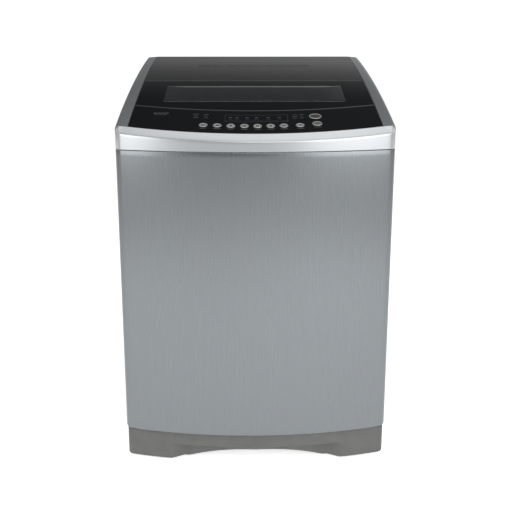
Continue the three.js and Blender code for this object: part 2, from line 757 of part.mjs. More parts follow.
// A low disc with three curved-sided vanes.
function pulsator() {
  const profile = [
    [0, 222], [PULSATOR_RADIUS, 222], [PULSATOR_RADIUS, 228], [PULSATOR_RADIUS - 10, 231], [60, 234],
    [34, 244], [0, 244],
  ];
  const vanes = [];
  const count = 3;
  for (let i = 0; i < count; i += 1) {
    const vane = new THREE.SphereGeometry(1, 12, 6);
    vane.scale(66, 15, 26);
    vane.translate(92, 0, 230);
    vane.rotateZ((2 * Math.PI * i) / count + Math.PI / 2);
    vane.translate(0, TUB_Y, 0);
    vanes.push(toSolid(vane));
  }
  const below = block(-400, 400, -400, 400, 150, 224);
  return join([turned(profile, 0, TUB_Y), ...vanes.map((vane) => cut(vane, [below]))]);
}

function pulsatorCap() {
  const profile = [[0, 244.3], [30, 244.3], [30, 248], [22, 254], [10, 257], [0, 258]];
  return turned(profile, 0, TUB_Y, 24);
}

function driveShaft() {
  return post(0, TUB_Y, 10, 70, 222 - GAP, 24);
}

// A belt pulley with a rim between two flanges, from its bore outwards.
function pulleyProfile(bore, radius, lip) {
  return [
    [bore, 78], [radius + lip, 78], [radius + lip, 82], [radius, 82.5], [radius, 93.5],
    [radius + lip, 94], [radius + lip, 98], [bore, 98], [bore, 78],
  ];
}

function motorPulley() {
  const wheel = turned(pulleyProfile(5, MOTOR_PULLEY_RADIUS, 4), 0, MOTOR_Y, 20);
  return join([wheel, post(0, MOTOR_Y, 6, 74, 100 - GAP, 12)]);
}

// The belt: a closed loop round both pulleys with straight runs between them.
function driveBelt() {
  const span = MOTOR_Y - TUB_Y;
  const lean = Math.asin((PULLEY_RADIUS - MOTOR_PULLEY_RADIUS) / span);
  const loop = (clearance) => [
    ...arc(0, TUB_Y, PULLEY_RADIUS + clearance, Math.PI - lean, 2 * Math.PI + lean, 20),
    ...arc(0, MOTOR_Y, MOTOR_PULLEY_RADIUS + clearance, lean, Math.PI - lean, 8),
  ];
  return cut(upright(loop(3.6), BELT_BOTTOM, BELT_TOP), [upright(loop(GAP + 0.3), 0, 200)]);
}

function bearingHousing() {
  const flangeTop = TUB_FLOOR - GAP;
  const profile = [
    [17, 124], [40, 124], [45, 132], [45, 172], [60, 180], [110, 180], [110, flangeTop],
    [17, flangeTop], [17, 124],
  ];
  return turned(profile, 0, TUB_Y);
}

// A plate bolted under the bearing housing that carries the motor.
function motorBracket() {
  const plate = upright(rectangle(-70, 70, TUB_Y - 96, MOTOR_Y + 72), 172.6, 179.7);
  const housingRoom = turned([[0, 170], [46, 170], [46, 172], [61, 180], [61, 181], [0, 181]], 0, TUB_Y);
  return cut(plate, [housingRoom]);
}

function motor() {
  const profile = [
    [0, 100], [50, 100], [64, 108], [64, 164], [50, 172], [0, 172],
  ];
  return turned(profile, 0, MOTOR_Y, 28);
}

function suspensionRod(x, y) {
  const seat = GUSSET_Z + GUSSET_THICK + GAP;
  const profile = [
    [0, 206], [17, 206], [17, SPRING_BOTTOM - GAP], [ROD_RADIUS, SPRING_BOTTOM - GAP],
    [ROD_RADIUS, seat], [11, seat], [11, seat + 3], [6, seat + 8], [0, seat + 9],
  ];
  return turned(profile, x, y, 12);
}

function suspensionSpring(x, y) {
  return ring(9, 14, SPRING_BOTTOM, LUG_Z - GAP, x, y, 16);
}

function drainPump() {
  const profile = [
    [0, WEB_TOP + GAP], [34, WEB_TOP + GAP], [36, 50], [36, 82], [26, 86], [26, 126], [20, 132], [0, 132],
  ];
  const neck = block(PUMP_X - 12, PUMP_X + 12, PUMP_Y, PUMP_Y + 58, 54, 78);
  return join([turned(profile, PUMP_X, PUMP_Y, 20), neck]);
}

// A box open at the front that hangs from the ledge behind the lid.
function dispenserHousing() {
  const shell = cut(block(-76, 76, 226, 308, DRAWER_BOTTOM - 4, DRAWER_TOP + 4), [
    block(-73, 73, 220, 305, DRAWER_BOTTOM - 1, DRAWER_TOP + 1),
  ]);
  const hanger = crowned(rectangle(-40, 40, 266, 300), SHALLOW_POCKET + WALL + GAP, 70);
  const aboveBox = block(-200, 200, 200, 330, DRAWER_TOP + 3, 950);
  return join([shell, hanger.intersect(aboveBox)]);
}

function detergentDrawer() {
  const outside = block(-71.5, 71.5, DRAWER_FRONT, 301, DRAWER_BOTTOM, DRAWER_TOP);
  const left = block(-69, 8, DRAWER_FRONT + 4, 298.5, DRAWER_BOTTOM + 2.5, DRAWER_TOP + 2);
  const right = block(10.5, 69, DRAWER_FRONT + 4, 298.5, DRAWER_BOTTOM + 2.5, DRAWER_TOP + 2);
  return cut(outside, [left, right]);
}

// ---- assembly ----

addPart('plinth', 'grey', plinth());
for (const [place, x, y] of feet()) {
  addPart(`levelling_foot_${place}`, 'rubber', levellingFoot(x, y));
}
addPart('cabinet_wrap', 'steel', cabinetWrap());
addPart('rear_panel', 'zinc', rearPanel());
addPart('service_cover', 'zinc', serviceCover());
for (const fitting of REAR_FITTINGS.filter(({ flange }) => flange > 0)) {
  addPart(fitting.name, 'grey', rearFitting(fitting));
}
addPart('inlet_valve', 'white', inletValve());
addPart('drain_pump', 'charcoal', drainPump());

addPart('top_frame', 'silver', topFrame());
addPart('opening_collar', 'charcoal', openingCollar());
addPart('rear_console', 'charcoal', rearConsole());
addPart('control_panel', 'gloss', controlPanel());
addPart('display_window', 'smoke', crowned(displayOutline(0), 0, DISPLAY_THICK));
addPart('control_board', 'board', controlBoard());
for (const { name, x, y, radius } of buttons()) {
  addPart(name, 'button', buttonBody(x, y, radius, -BUTTON_DEPTH, BUTTON_PROUD));
}

addPart('lid_rear_panel', 'charcoal', lidRear());
addPart('lid_slot_insert', 'gloss', slotInsert());
addPart('lid_front_frame', 'gloss', lidFront());
addPart('lid_window', 'smoke', lidWindow());
addPart('lid_fold_pin', 'zinc', crossBar(FOLD_Y, foldZ(), FOLD_PIN, -SIDE_KNUCKLE, SIDE_KNUCKLE));
addPart('lid_hinge_pin_left', 'zinc', hingePin(-1));
addPart('lid_hinge_pin_right', 'zinc', hingePin(1));

addPart('outer_tub', 'white', outerTub());
addPart('tub_cover_ring', 'white', tubCoverRing());
addPart('bearing_housing', 'zinc', bearingHousing());
addPart('motor_bracket', 'zinc', motorBracket());
addPart('motor', 'zinc', motor());
addPart('drive_belt', 'rubber', driveBelt());
addPart('basket', 'stainless', basket());
addPart('balance_ring', 'white', balanceRing());
addPart('basket_hub', 'zinc', basketHub());
addPart('lint_filter', 'white', lintFilter());
addPart('pulsator', 'white', pulsator());
addPart('pulsator_cap', 'stainless', pulsatorCap());
addPart('drive_shaft', 'stainless', driveShaft());
addPart('drive_pulley', 'zinc', turned(pulleyProfile(10.3, PULLEY_RADIUS, 6), 0, TUB_Y));
addPart('motor_pulley', 'zinc', motorPulley());
for (const [place, x, y] of rodPlaces()) {
  addPart(`suspension_rod_${place}`, 'zinc', suspensionRod(x, y));
  addPart(`suspension_spring_${place}`, 'zinc', suspensionSpring(x, y));
}
addPart('dispenser_housing', 'white', dispenserHousing());
addPart('detergent_drawer', 'white', detergentDrawer());

export default machine;
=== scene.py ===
import json
import math

import bmesh
import bpy
import numpy as np
from bpy.props import FloatProperty, FloatVectorProperty, IntProperty, PointerProperty
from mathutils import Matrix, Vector


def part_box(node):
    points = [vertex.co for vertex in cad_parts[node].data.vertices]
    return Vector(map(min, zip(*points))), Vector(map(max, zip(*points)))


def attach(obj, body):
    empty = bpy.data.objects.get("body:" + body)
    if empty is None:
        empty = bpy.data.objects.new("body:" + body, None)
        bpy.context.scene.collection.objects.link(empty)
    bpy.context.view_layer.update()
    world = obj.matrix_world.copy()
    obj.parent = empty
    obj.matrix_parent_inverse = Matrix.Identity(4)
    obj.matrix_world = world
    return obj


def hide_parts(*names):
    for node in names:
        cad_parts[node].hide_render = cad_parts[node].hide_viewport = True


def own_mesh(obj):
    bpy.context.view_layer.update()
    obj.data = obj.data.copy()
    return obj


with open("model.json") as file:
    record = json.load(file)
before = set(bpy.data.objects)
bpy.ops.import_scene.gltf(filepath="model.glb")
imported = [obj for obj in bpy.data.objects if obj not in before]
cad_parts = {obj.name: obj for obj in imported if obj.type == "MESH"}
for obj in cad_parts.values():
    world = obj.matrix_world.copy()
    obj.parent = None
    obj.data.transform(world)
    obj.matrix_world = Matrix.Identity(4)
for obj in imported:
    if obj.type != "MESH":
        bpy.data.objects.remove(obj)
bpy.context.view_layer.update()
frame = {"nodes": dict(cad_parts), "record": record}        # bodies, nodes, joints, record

bl_info = {
    "name": "Top Load Washer",
    "version": (1, 0, 0),
    "blender": (4, 5, 0),
    "location": "3D View > Sidebar > Washer",
    "description": "Builds the finished surfaces of a top load washing machine over its packed frame",
    "category": "Object",
}

# ---------------------------------------------------------------------------
# Sizes that come from the frame, in metres
# ---------------------------------------------------------------------------

SKIN_LOW, SKIN_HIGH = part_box("cabinet_wrap")
HALF_WIDTH = SKIN_HIGH.x
BACK = SKIN_HIGH.y
SKIN_BOTTOM = SKIN_LOW.z
SKIN_TOP = SKIN_HIGH.z
BOW_TIP = SKIN_LOW.y
BOW = 0.042
FRONT_CORNER = BOW_TIP + BOW
BOW_RADIUS = (HALF_WIDTH ** 2 + BOW ** 2) / (2 * BOW)
BOW_CENTRE = BOW_TIP + BOW_RADIUS
CORNER = 0.014
FRAME_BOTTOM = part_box("top_frame")[0].z
GAP = 0.0003

# The crowned top: height and fall behind the front corners.
CROWN_START = 0.768
CROWN_SLOPE = 0.315
CROWN_FALL = 0.165

POCKET_HALF = 0.272
PANEL_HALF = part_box("control_panel")[1].x
PANEL_FRONT = 0.013
PANEL_BACK = 0.130
PANEL_THICK = 0.003
LID_FRONT = 0.1308
LID_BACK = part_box("lid_rear_panel")[1].y
LID_THICK = 0.012
LID_WALL = 0.003
WELL_BACK = 0.2528
WELL_DEPTH = 0.020
OPENING_Y = 0.030
OPENING_RADIUS = 0.188
FOLD_Y = 0.020
FOLD_GAP = 0.0004
HINGE_Y = LID_BACK - 0.004
KNUCKLE = 0.005
TUB_Y = 0.020
GLASS_LOW, GLASS_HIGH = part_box("lid_window")
STRIP_LOW, STRIP_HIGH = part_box("lid_slot_insert")
SHOWN_LOW, SHOWN_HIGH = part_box("display_window")

SMALL_BUTTONS = [f"program_button_{number}" for number in range(1, 9)]
LARGE_BUTTONS = ["start_button", "power_button"]
CORNER_PLACES = ["front_left", "front_right", "back_left", "back_right"]

FRONT_STEPS = 56
SIDE_STEPS = 32
CORNER_STEPS = 8


# ---------------------------------------------------------------------------
# Lines and surfaces that many pieces share
# ---------------------------------------------------------------------------

def bow(x, behind=0.0):
    """Front line: a circle through both front corners and the tip of the bow, moved back by a distance."""
    return BOW_CENTRE + behind - np.sqrt(BOW_RADIUS ** 2 - np.asarray(x, dtype=float) ** 2)


def crown(y):
    """Height of the top: a parabola in the distance behind the front corners."""
    run = np.asarray(y, dtype=float) - FRONT_CORNER
    return CROWN_START + CROWN_SLOPE * run - CROWN_FALL * run ** 2


def crown_angle(y):
    return math.atan(CROWN_SLOPE - 2 * CROWN_FALL * (y - FRONT_CORNER))


def ease(value, low, high):
    """Smooth step: three times the square less twice the cube of the share of the way from low to high."""
    share = np.clip((np.asarray(value, dtype=float) - low) / (high - low), 0.0, 1.0)
    return share * share * (3.0 - 2.0 * share)


def mixed(first, second, share):
    return first + (second - first) * share


def rounded(start, corner, end):
    """A corner turned as a rational curve of second degree: a quarter circle between square sides."""
    t = np.linspace(0.0, 1.0, CORNER_STEPS + 1)[1:-1, None]
    a, b, c = (1 - t) ** 2, 2 * math.sqrt(0.5) * t * (1 - t), t ** 2
    return (a * start + b * corner + c * end) / (a + b + c)


def plan(left, right, front, back, radius):
    """A four-sided plan seen from above, anticlockwise from its front left, with its corners turned.

    front and back are lines given as functions of x. Every plan has the same number of points in the
    same order, so any two of them can be joined by a surface.
    """
    across = np.linspace(left + radius, right - radius, FRONT_STEPS + 1)
    up = np.linspace(0.0, 1.0, SIDE_STEPS + 1)
    f_left, f_right = float(front(left)), float(front(right))
    b_left, b_right = float(back(left)), float(back(right))
    right_y = mixed(f_right + radius, b_right - radius, up)
    left_y = mixed(b_left - radius, f_left + radius, up)
    low = np.column_stack([across, front(across)])
    side = np.column_stack([np.full_like(right_y, right), right_y])
    high = np.column_stack([across[::-1], back(across[::-1])])
    other = np.column_stack([np.full_like(left_y, left), left_y])
    return np.concatenate([
        low, rounded(low[-1], np.array([right, f_right]), side[0]),
        side, rounded(side[-1], np.array([right, b_right]), high[0]),
        high, rounded(high[-1], np.array([left, b_left]), other[0]),
        other, rounded(other[-1], np.array([left, f_left]), low[0]),
    ])


def straight(value):
    """A line across the machine at one distance from front to back."""
    return lambda x: np.asarray(x, dtype=float) * 0.0 + value


def cabinet_plan(inset=0.0):
    """The cabinet's plan, drawn in on all sides by a distance."""
    reach = HALF_WIDTH - inset
    lean = inset * BOW_RADIUS / math.sqrt(BOW_RADIUS ** 2 - reach ** 2)
    return plan(-reach, reach, lambda x: mixed(bow(x, inset), bow(x, lean), np.abs(x) / HALF_WIDTH),
                straight(BACK - inset), max(CORNER - inset, 0.002))


def half_bowed_plan(half, front, back, inset=0.0, radius=0.002):
    """A plan with its front on the bow and a straight back."""
    return plan(-half + inset, half - inset, lambda x: bow(x, front + inset), straight(back - inset), radius)


def square_plan(half, front, back, inset=0.0, radius=0.002):
    return plan(-half + inset, half - inset, straight(front + inset), straight(back - inset), radius)


def front_share():
    """One on the front columns of a plan, none on its sides and back, easing round the two front corners."""
    turn = ease(np.arange(1, CORNER_STEPS), 0, CORNER_STEPS)
    sides = np.zeros(2 * (SIDE_STEPS + 1) + (FRONT_STEPS + 1) + 2 * (CORNER_STEPS - 1))
    return np.concatenate([np.ones(FRONT_STEPS + 1), 1 - turn, sides, turn])


def back_share():
    """One on the back columns of a plan, easing round the two rear corners."""
    turn = ease(np.arange(1, CORNER_STEPS), 0, CORNER_STEPS)
    lead = np.zeros(FRONT_STEPS + 1 + CORNER_STEPS - 1 + SIDE_STEPS + 1)
    tail = np.zeros(SIDE_STEPS + 1 + CORNER_STEPS - 1)
    return np.concatenate([lead, turn, np.ones(FRONT_STEPS + 1), 1 - turn, tail])


def below_crown(line, depth):
    """A plan line laid at a depth under the crowned top."""
    return np.column_stack([line, crown(line[:, 1]) - depth])


def at_height(line, height):
    return np.column_stack([line, np.zeros(len(line)) + height])


def circle_under(line, radius, centre_y):
    """Points of a circle, each on the ray from the circle's middle through the same point of a plan line."""
    angle = np.arctan2(line[:, 1] - centre_y, line[:, 0])
    return np.column_stack([radius * np.cos(angle), centre_y + radius * np.sin(angle)])


def middle(node):
    """The middle of a part of the frame, seen from above."""
    low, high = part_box(node)
    return (low.x + high.x) / 2, (low.y + high.y) / 2


# ---------------------------------------------------------------------------
# Grids of faces
# ---------------------------------------------------------------------------

def grid_faces(rows, columns, rows_close, columns_close):
    """Four-sided faces between neighbouring rows and columns of a grid of points."""
    i = np.arange(rows if rows_close else rows - 1)[:, None]
    j = np.arange(columns if columns_close else columns - 1)[None, :]
    nexti, nextj = (i + 1) % rows, (j + 1) % columns
    corners = [i * columns + j, i * columns + nextj, nexti * columns + nextj, nexti * columns + j]
    return np.stack([np.broadcast_to(c, (len(i), j.shape[1])) for c in corners], -1).reshape(-1, 4)


def ring_shell(lines):
    """A closed tube: closed lines, joined one to the next and the last to the first."""
    grid = np.stack(lines)
    rows, columns = grid.shape[:2]
    return grid.reshape(-1, 3), [grid_faces(rows, columns, True, True)]


def capped_shell(lines):
    """Closed lines joined in turn, with the first and the last each closed by a fan of triangles."""
    grid = np.stack(lines)
    rows, columns = grid.shape[:2]
    points = np.concatenate([grid.reshape(-1, 3), grid[0].mean(0)[None], grid[-1].mean(0)[None]])
    j = np.arange(columns)
    k = (j + 1) % columns
    first = np.column_stack([k, j, np.full(columns, rows * columns)])
    end = (rows - 1) * columns
    last = np.column_stack([end + j, end + k, np.full(columns, rows * columns + 1)])
    return points, [grid_faces(rows, columns, False, True), first, last]


def open_strip(lines):
    """A profile carried along an open path: lines run along the path, and a flat face closes each end."""
    grid = np.stack(lines)
    rows, columns = grid.shape[:2]
    start = (np.arange(rows) * columns)[None, :]
    end = start[:, ::-1] + columns - 1
    return grid.reshape(-1, 3), [grid_faces(rows, columns, True, False), start, end]


def slab(top, bottom):
    """A plate between two grids of points, closed by a strip of faces round its edge."""
    rows, columns = top.shape[:2]
    count = rows * columns
    index = np.arange(count).reshape(rows, columns)
    edge = np.concatenate([index[0, :-1], index[:-1, -1], index[-1, :0:-1], index[:0:-1, 0]])
    after = np.roll(edge, -1)
    upper = grid_faces(rows, columns, False, False)
    sides = np.column_stack([edge + count, after + count, after, edge])
    points = np.concatenate([top.reshape(-1, 3), bottom.reshape(-1, 3)])
    return points, [upper, upper[:, ::-1] + count, sides]


def turned(profile, x=0.0, y=TUB_Y, segments=96, closed=True):
    """A profile of radius and height turned about an upright axis; points on the axis merge into a pole."""
    angle = np.linspace(0, 2 * np.pi, segments, endpoint=False)
    profile = np.asarray(profile, dtype=float)
    radius, height = profile[:, 0][:, None], profile[:, 1][:, None]
    grid = np.stack([x + radius * np.cos(angle), y + radius * np.sin(angle), height + 0 * angle], -1)
    return grid.reshape(-1, 3), [grid_faces(len(profile), segments, closed, True)]


def turned_along_y(profile, x, z, segments=48):
    """A profile of radius and distance turned about an axis that runs from front to back."""
    points, faces = turned(profile, 0.0, 0.0, segments)
    return np.column_stack([x + points[:, 0], points[:, 2], z - points[:, 1]]), faces


def turned_across(profile, y, z, segments=32):
    """A profile of radius and distance turned about an axis that runs across the machine."""
    points, faces = turned(profile, 0.0, 0.0, segments)
    return np.column_stack([points[:, 2], y + points[:, 0], z + points[:, 1]]), faces


def barrel(x0, x1, radius, y, z, edge=0.0006):
    """A solid bar across the machine with softened ends."""
    profile = [[0, x0], [radius - edge, x0], [radius, x0 + edge],
               [radius, x1 - edge], [radius - edge, x1], [0, x1]]
    return turned_across(profile, y, z)


def softened(profile, radius, steps=3):
    """Replaces each corner of a closed profile by a short curve that leans on it."""
    points = np.asarray(profile, dtype=float)
    before, after = np.roll(points, 1, 0), np.roll(points, -1, 0)

    def towards(other):
        way = other - points
        length = np.linalg.norm(way, axis=1, keepdims=True)
        return points + way * np.minimum(radius / np.maximum(length, 1e-9), 0.45)

    start, end = towards(before), towards(after)
    t = np.linspace(0, 1, steps + 1)[None, :, None]
    curve = (1 - t) ** 2 * start[:, None] + 2 * t * (1 - t) * points[:, None] + t ** 2 * end[:, None]
    return curve.reshape(-1, 2)


# ---------------------------------------------------------------------------
# Making pieces
# ---------------------------------------------------------------------------

def make_piece(name, parts, finish, body, replaces=(), bevel=0.0, cutters=(), sharp=0.6):
    """Puts grids into one mesh, welds its seams and poles, turns faces outwards and fits it to its body."""
    starts = np.cumsum([0] + [len(points) for points, _ in parts])
    shifted = [group + start for (_, groups), start in zip(parts, starts) for group in groups]
    faces = [face for group in shifted for face in group.tolist()]
    mesh = bpy.data.meshes.new(name)
    mesh.from_pydata(np.concatenate([points for points, _ in parts]).tolist(), [], faces)
    shape = bmesh.new()
    shape.from_mesh(mesh)
    bmesh.ops.remove_doubles(shape, verts=shape.verts, dist=2e-6)
    bmesh.ops.dissolve_degenerate(shape, edges=shape.edges, dist=1e-6)
    bmesh.ops.recalc_face_normals(shape, faces=shape.faces)
    shape.to_mesh(mesh)
    shape.free()
    piece = bpy.data.objects.new(name, mesh)
    bpy.context.scene.collection.objects.link(piece)
    if bevel:
        soften = piece.modifiers.new("soft edges", "BEVEL")
        soften.width, soften.segments, soften.limit_method = bevel, 3, "ANGLE"
        soften.angle_limit = math.radians(40)
        soften.harden_normals = not cutters
    if cutters:
        cut_piece(piece, cutters)
    piece.data.polygons.foreach_set("use_smooth", [True] * len(piece.data.polygons))
    if cutters or not bevel:
        piece.data.set_sharp_from_angle(angle=sharp)
    piece.data.materials.append(finish)
    if replaces:
        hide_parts(*replaces)
    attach(piece, body)
    return piece


def cut_piece(piece, cutters):
    """Takes closed shapes out of a piece and keeps the result as its own mesh."""
    tools = []
    for number, (points, groups) in enumerate(cutters):
        mesh = bpy.data.meshes.new(f"cutter_{number}")
        mesh.from_pydata(points.tolist(), [], [face for group in groups for face in group.tolist()])
        shape = bmesh.new()
        shape.from_mesh(mesh)
        bmesh.ops.remove_doubles(shape, verts=shape.verts, dist=1e-6)
        bmesh.ops.recalc_face_normals(shape, faces=shape.faces)
        shape.to_mesh(mesh)
        shape.free()
        tool = bpy.data.objects.new(f"cutter_{number}", mesh)
        bpy.context.scene.collection.objects.link(tool)
        cut = piece.modifiers.new("cut", "BOOLEAN")
        cut.operation, cut.solver, cut.object = "DIFFERENCE", "EXACT", tool
        tools.append(tool)
    settle(piece)
    for tool in tools:
        bpy.data.objects.remove(tool)


def settle(piece):
    """Keeps the shape that a piece has with its modifiers as its own mesh."""
    bpy.context.view_layer.update()
    result = bpy.data.meshes.new_from_object(piece.evaluated_get(bpy.context.evaluated_depsgraph_get()))
    piece.modifiers.clear()
    old = piece.data
    piece.data = result
    bpy.data.meshes.remove(old)
    result.name = piece.name


def block(x0, x1, y0, y1, z0, z1):
    """A plain box as two grids of four points."""
    flat = np.array([[[x0, y0], [x1, y0]], [[x0, y1], [x1, y1]]])
    top = np.concatenate([flat, np.full((2, 2, 1), z1)], -1)
    return slab(top, np.concatenate([flat, np.full((2, 2, 1), z0)], -1))


# ---------------------------------------------------------------------------
# Finishes
# ---------------------------------------------------------------------------

class Finish:
    """A material under construction: a shader fed by patterns that are fixed to the piece."""

    def __init__(self, name, colour, roughness, metallic=0.0, **sockets):
        self.material = bpy.data.materials.new(name)
        self.material.use_nodes = True
        self.tree = self.material.node_tree
        self.shader = self.tree.nodes["Principled BSDF"]
        self.shader.inputs["Base Color"].default_value = (*colour, 1)
        self.shader.inputs["Roughness"].default_value = roughness
        self.shader.inputs["Metallic"].default_value = metallic
        for socket, value in sockets.items():
            self.shader.inputs[socket.replace("_", " ")].default_value = value
        self.place = self.tree.nodes.new("ShaderNodeTexCoord").outputs["Object"]
        self.material.diffuse_color = (*colour, 1)

    def mapped(self, stretch):
        node = self.tree.nodes.new("ShaderNodeMapping")
        node.inputs["Scale"].default_value = stretch
        self.tree.links.new(self.place, node.inputs["Vector"])
        return node.outputs["Vector"]

    def noise(self, scale, stretch=(1, 1, 1), detail=3.0, rough=0.55):
        node = self.tree.nodes.new("ShaderNodeTexNoise")
        node.inputs["Scale"].default_value = scale
        node.inputs["Detail"].default_value = detail
        node.inputs["Roughness"].default_value = rough
        self.tree.links.new(self.mapped(stretch), node.inputs["Vector"])
        return node.outputs["Fac"]

    def cells(self, scale, stretch=(1, 1, 1), feature="F1", output="Distance"):
        node = self.tree.nodes.new("ShaderNodeTexVoronoi")
        node.feature = feature
        node.inputs["Scale"].default_value = scale
        self.tree.links.new(self.mapped(stretch), node.inputs["Vector"])
        return node.outputs[output]

    def colour_from(self, pattern, low, high, start=0.35, end=0.65):
        node = self.tree.nodes.new("ShaderNodeValToRGB")
        node.color_ramp.elements[0].position, node.color_ramp.elements[1].position = start, end
        node.color_ramp.elements[0].color, node.color_ramp.elements[1].color = (*low, 1), (*high, 1)
        self.tree.links.new(pattern, node.inputs["Fac"])
        self.tree.links.new(node.outputs["Color"], self.shader.inputs["Base Color"])
        return self

    def roughness_from(self, pattern, low, high, start=0.1, end=0.9):
        node = self.tree.nodes.new("ShaderNodeMapRange")
        node.inputs["From Min"].default_value, node.inputs["From Max"].default_value = start, end
        node.inputs["To Min"].default_value, node.inputs["To Max"].default_value = low, high
        self.tree.links.new(pattern, node.inputs["Value"])
        self.tree.links.new(node.outputs["Result"], self.shader.inputs["Roughness"])
        return self

    def relief_from(self, pattern, strength, distance):
        node = self.tree.nodes.new("ShaderNodeBump")
        node.inputs["Strength"].default_value = strength
        node.inputs["Distance"].default_value = distance
        self.tree.links.new(pattern, node.inputs["Height"])
        self.tree.links.new(node.outputs["Normal"], self.shader.inputs["Normal"])
        return self


def lacquered_steel(colour):
    """Satin steel with fine upright brushing, which draws its highlights out sideways."""
    dark = tuple(0.99 * c for c in colour)
    light = tuple(1.01 * c for c in colour)
    made = Finish("lacquered_steel", colour, 0.33, 0.95, Anisotropic=0.45)
    lines = made.noise(1.0, (1400, 1400, 5), 2)
    made.colour_from(lines, dark, light)
    return made.roughness_from(made.noise(1.0, (500, 500, 3), 3), 0.262, 0.292).material


def silver_plastic():
    """Moulded plastic in silver paint with a very fine metallic fleck."""
    made = Finish("silver_plastic", (0.36, 0.374, 0.387), 0.3, 0.8)
    made.colour_from(made.noise(2600, detail=1), (0.34, 0.354, 0.367), (0.38, 0.394, 0.407))
    return made.roughness_from(made.noise(700, detail=1), 0.26, 0.34).material


def piano_black():
    """Polished black with a little uneven gloss."""
    made = Finish("piano_black", (0.005, 0.0055, 0.0065), 0.09, 0.0)
    made.colour_from(made.noise(300, detail=2), (0.0045, 0.005, 0.0058), (0.0058, 0.0063, 0.0075))
    return made.roughness_from(made.noise(400, detail=2), 0.07, 0.11).material


def smoked_glass():
    """Dark see-through plastic."""
    made = Finish("smoked_glass", (0.12, 0.125, 0.13), 0.05, 0.0, Transmission_Weight=0.85, IOR=1.5)
    made.colour_from(made.noise(300, detail=2), (0.11, 0.115, 0.12), (0.13, 0.135, 0.145))
    return made.roughness_from(made.noise(400, detail=2), 0.04, 0.06).material


def charcoal_gloss():
    """Charcoal plastic with a soft gloss."""
    made = Finish("charcoal_gloss", (0.012, 0.0125, 0.013), 0.2, 0.0)
    made.colour_from(made.noise(400, detail=2), (0.011, 0.0115, 0.012), (0.0135, 0.014, 0.0145))
    return made.roughness_from(made.noise(600, detail=2), 0.17, 0.23).material


def console_grey():
    """Satin dark grey plastic for the rear console."""
    made = Finish("console_grey", (0.05, 0.051, 0.052), 0.3, 0.0)
    made.colour_from(made.noise(500, detail=2), (0.046, 0.047, 0.048), (0.055, 0.056, 0.057))
    return made.roughness_from(made.noise(700, detail=2), 0.26, 0.36).material


def grained_plastic(name, colour, grain=1100, relief=0.25, roughness=(0.5, 0.62)):
    """Moulded plastic with a spark-eroded grain."""
    made = Finish(name, colour, sum(roughness) / 2)
    darker, lighter = tuple(0.92 * c for c in colour), tuple(min(1.0, 1.06 * c) for c in colour)
    made.colour_from(made.noise(40, detail=4), darker, lighter)
    made.roughness_from(made.noise(grain, detail=2), *roughness)
    return made.relief_from(made.cells(grain), relief, 0.0002).material


def button_silver():
    """Satin metal-look plating on the buttons."""
    made = Finish("button_silver", (0.34, 0.34, 0.335), 0.28, 0.6)
    made.colour_from(made.noise(900, detail=2), (0.31, 0.31, 0.305), (0.37, 0.37, 0.365))
    return made.roughness_from(made.noise(300, detail=2), 0.24, 0.34).material


def galvanised():
    """Zinc coated steel: flat crystals of slightly different greys."""
    made = Finish("galvanised", (0.29, 0.30, 0.307), 0.4, 0.85)
    spangle = made.cells(70, output="Color")
    grey = made.tree.nodes.new("ShaderNodeRGBToBW")
    made.tree.links.new(spangle, grey.inputs["Color"])
    made.colour_from(grey.outputs["Val"], (0.26, 0.27, 0.277), (0.32, 0.33, 0.337), 0.2, 0.8)
    made.roughness_from(grey.outputs["Val"], 0.32, 0.48, 0.2, 0.8)
    return made.relief_from(made.noise(700, detail=2), 0.04, 0.0002).material


def bright_zinc():
    """Bright plated wire and rods with fine drawing marks."""
    made = Finish("bright_zinc", (0.5, 0.5, 0.49), 0.3, 0.95)
    made.colour_from(made.noise(1.0, (900, 900, 40), 3), (0.43, 0.43, 0.42), (0.57, 0.57, 0.56))
    return made.roughness_from(made.noise(250, detail=3), 0.22, 0.4).material


def cast_aluminium():
    """Die-cast metal with a dull, slightly pitted skin."""
    made = Finish("cast_aluminium", (0.56, 0.57, 0.58), 0.5, 0.9)
    made.colour_from(made.noise(120, detail=4), (0.48, 0.49, 0.5), (0.62, 0.63, 0.64))
    made.roughness_from(made.noise(300, detail=3), 0.42, 0.6)
    return made.relief_from(made.cells(900), 0.3, 0.0003).material


def drum_steel():
    """Rolled stainless steel with fine level lines."""
    made = Finish("drum_steel", (0.6, 0.6, 0.595), 0.24, 1.0)
    lines = made.noise(1.0, (6, 6, 1600), 3)
    made.colour_from(lines, (0.54, 0.54, 0.535), (0.66, 0.66, 0.655))
    made.roughness_from(made.noise(1.0, (5, 5, 700), 3), 0.18, 0.3)
    return made.relief_from(lines, 0.06, 0.0002).material


def black_rubber():
    """Matt moulded rubber with a dusty bloom."""
    made = Finish("black_rubber", (0.02, 0.02, 0.021), 0.85)
    made.colour_from(made.noise(60, detail=5), (0.016, 0.016, 0.017), (0.034, 0.034, 0.035))
    return made.relief_from(made.noise(800, detail=3), 0.25, 0.0003).material


def circuit_green():
    """Lacquered board with paler copper runs."""
    made = Finish("circuit_green", (0.02, 0.11, 0.045), 0.35, 0.0, Coat_Weight=0.4)
    runs = made.cells(70, (1, 1, 0.01), "DISTANCE_TO_EDGE")
    made.colour_from(runs, (0.05, 0.2, 0.09), (0.015, 0.085, 0.035), 0.02, 0.05)
    return made.relief_from(runs, 0.2, 0.0002).material


def natural_plastic():
    """Milky natural plastic of the outer tub."""
    made = Finish("natural_plastic", (0.55, 0.56, 0.54), 0.45, 0.0,
                  Subsurface_Weight=0.1, Subsurface_Scale=0.01)
    made.colour_from(made.noise(8, detail=4), (0.5, 0.51, 0.49), (0.6, 0.61, 0.59))
    return made.relief_from(made.noise(300, detail=3), 0.12, 0.0005).material


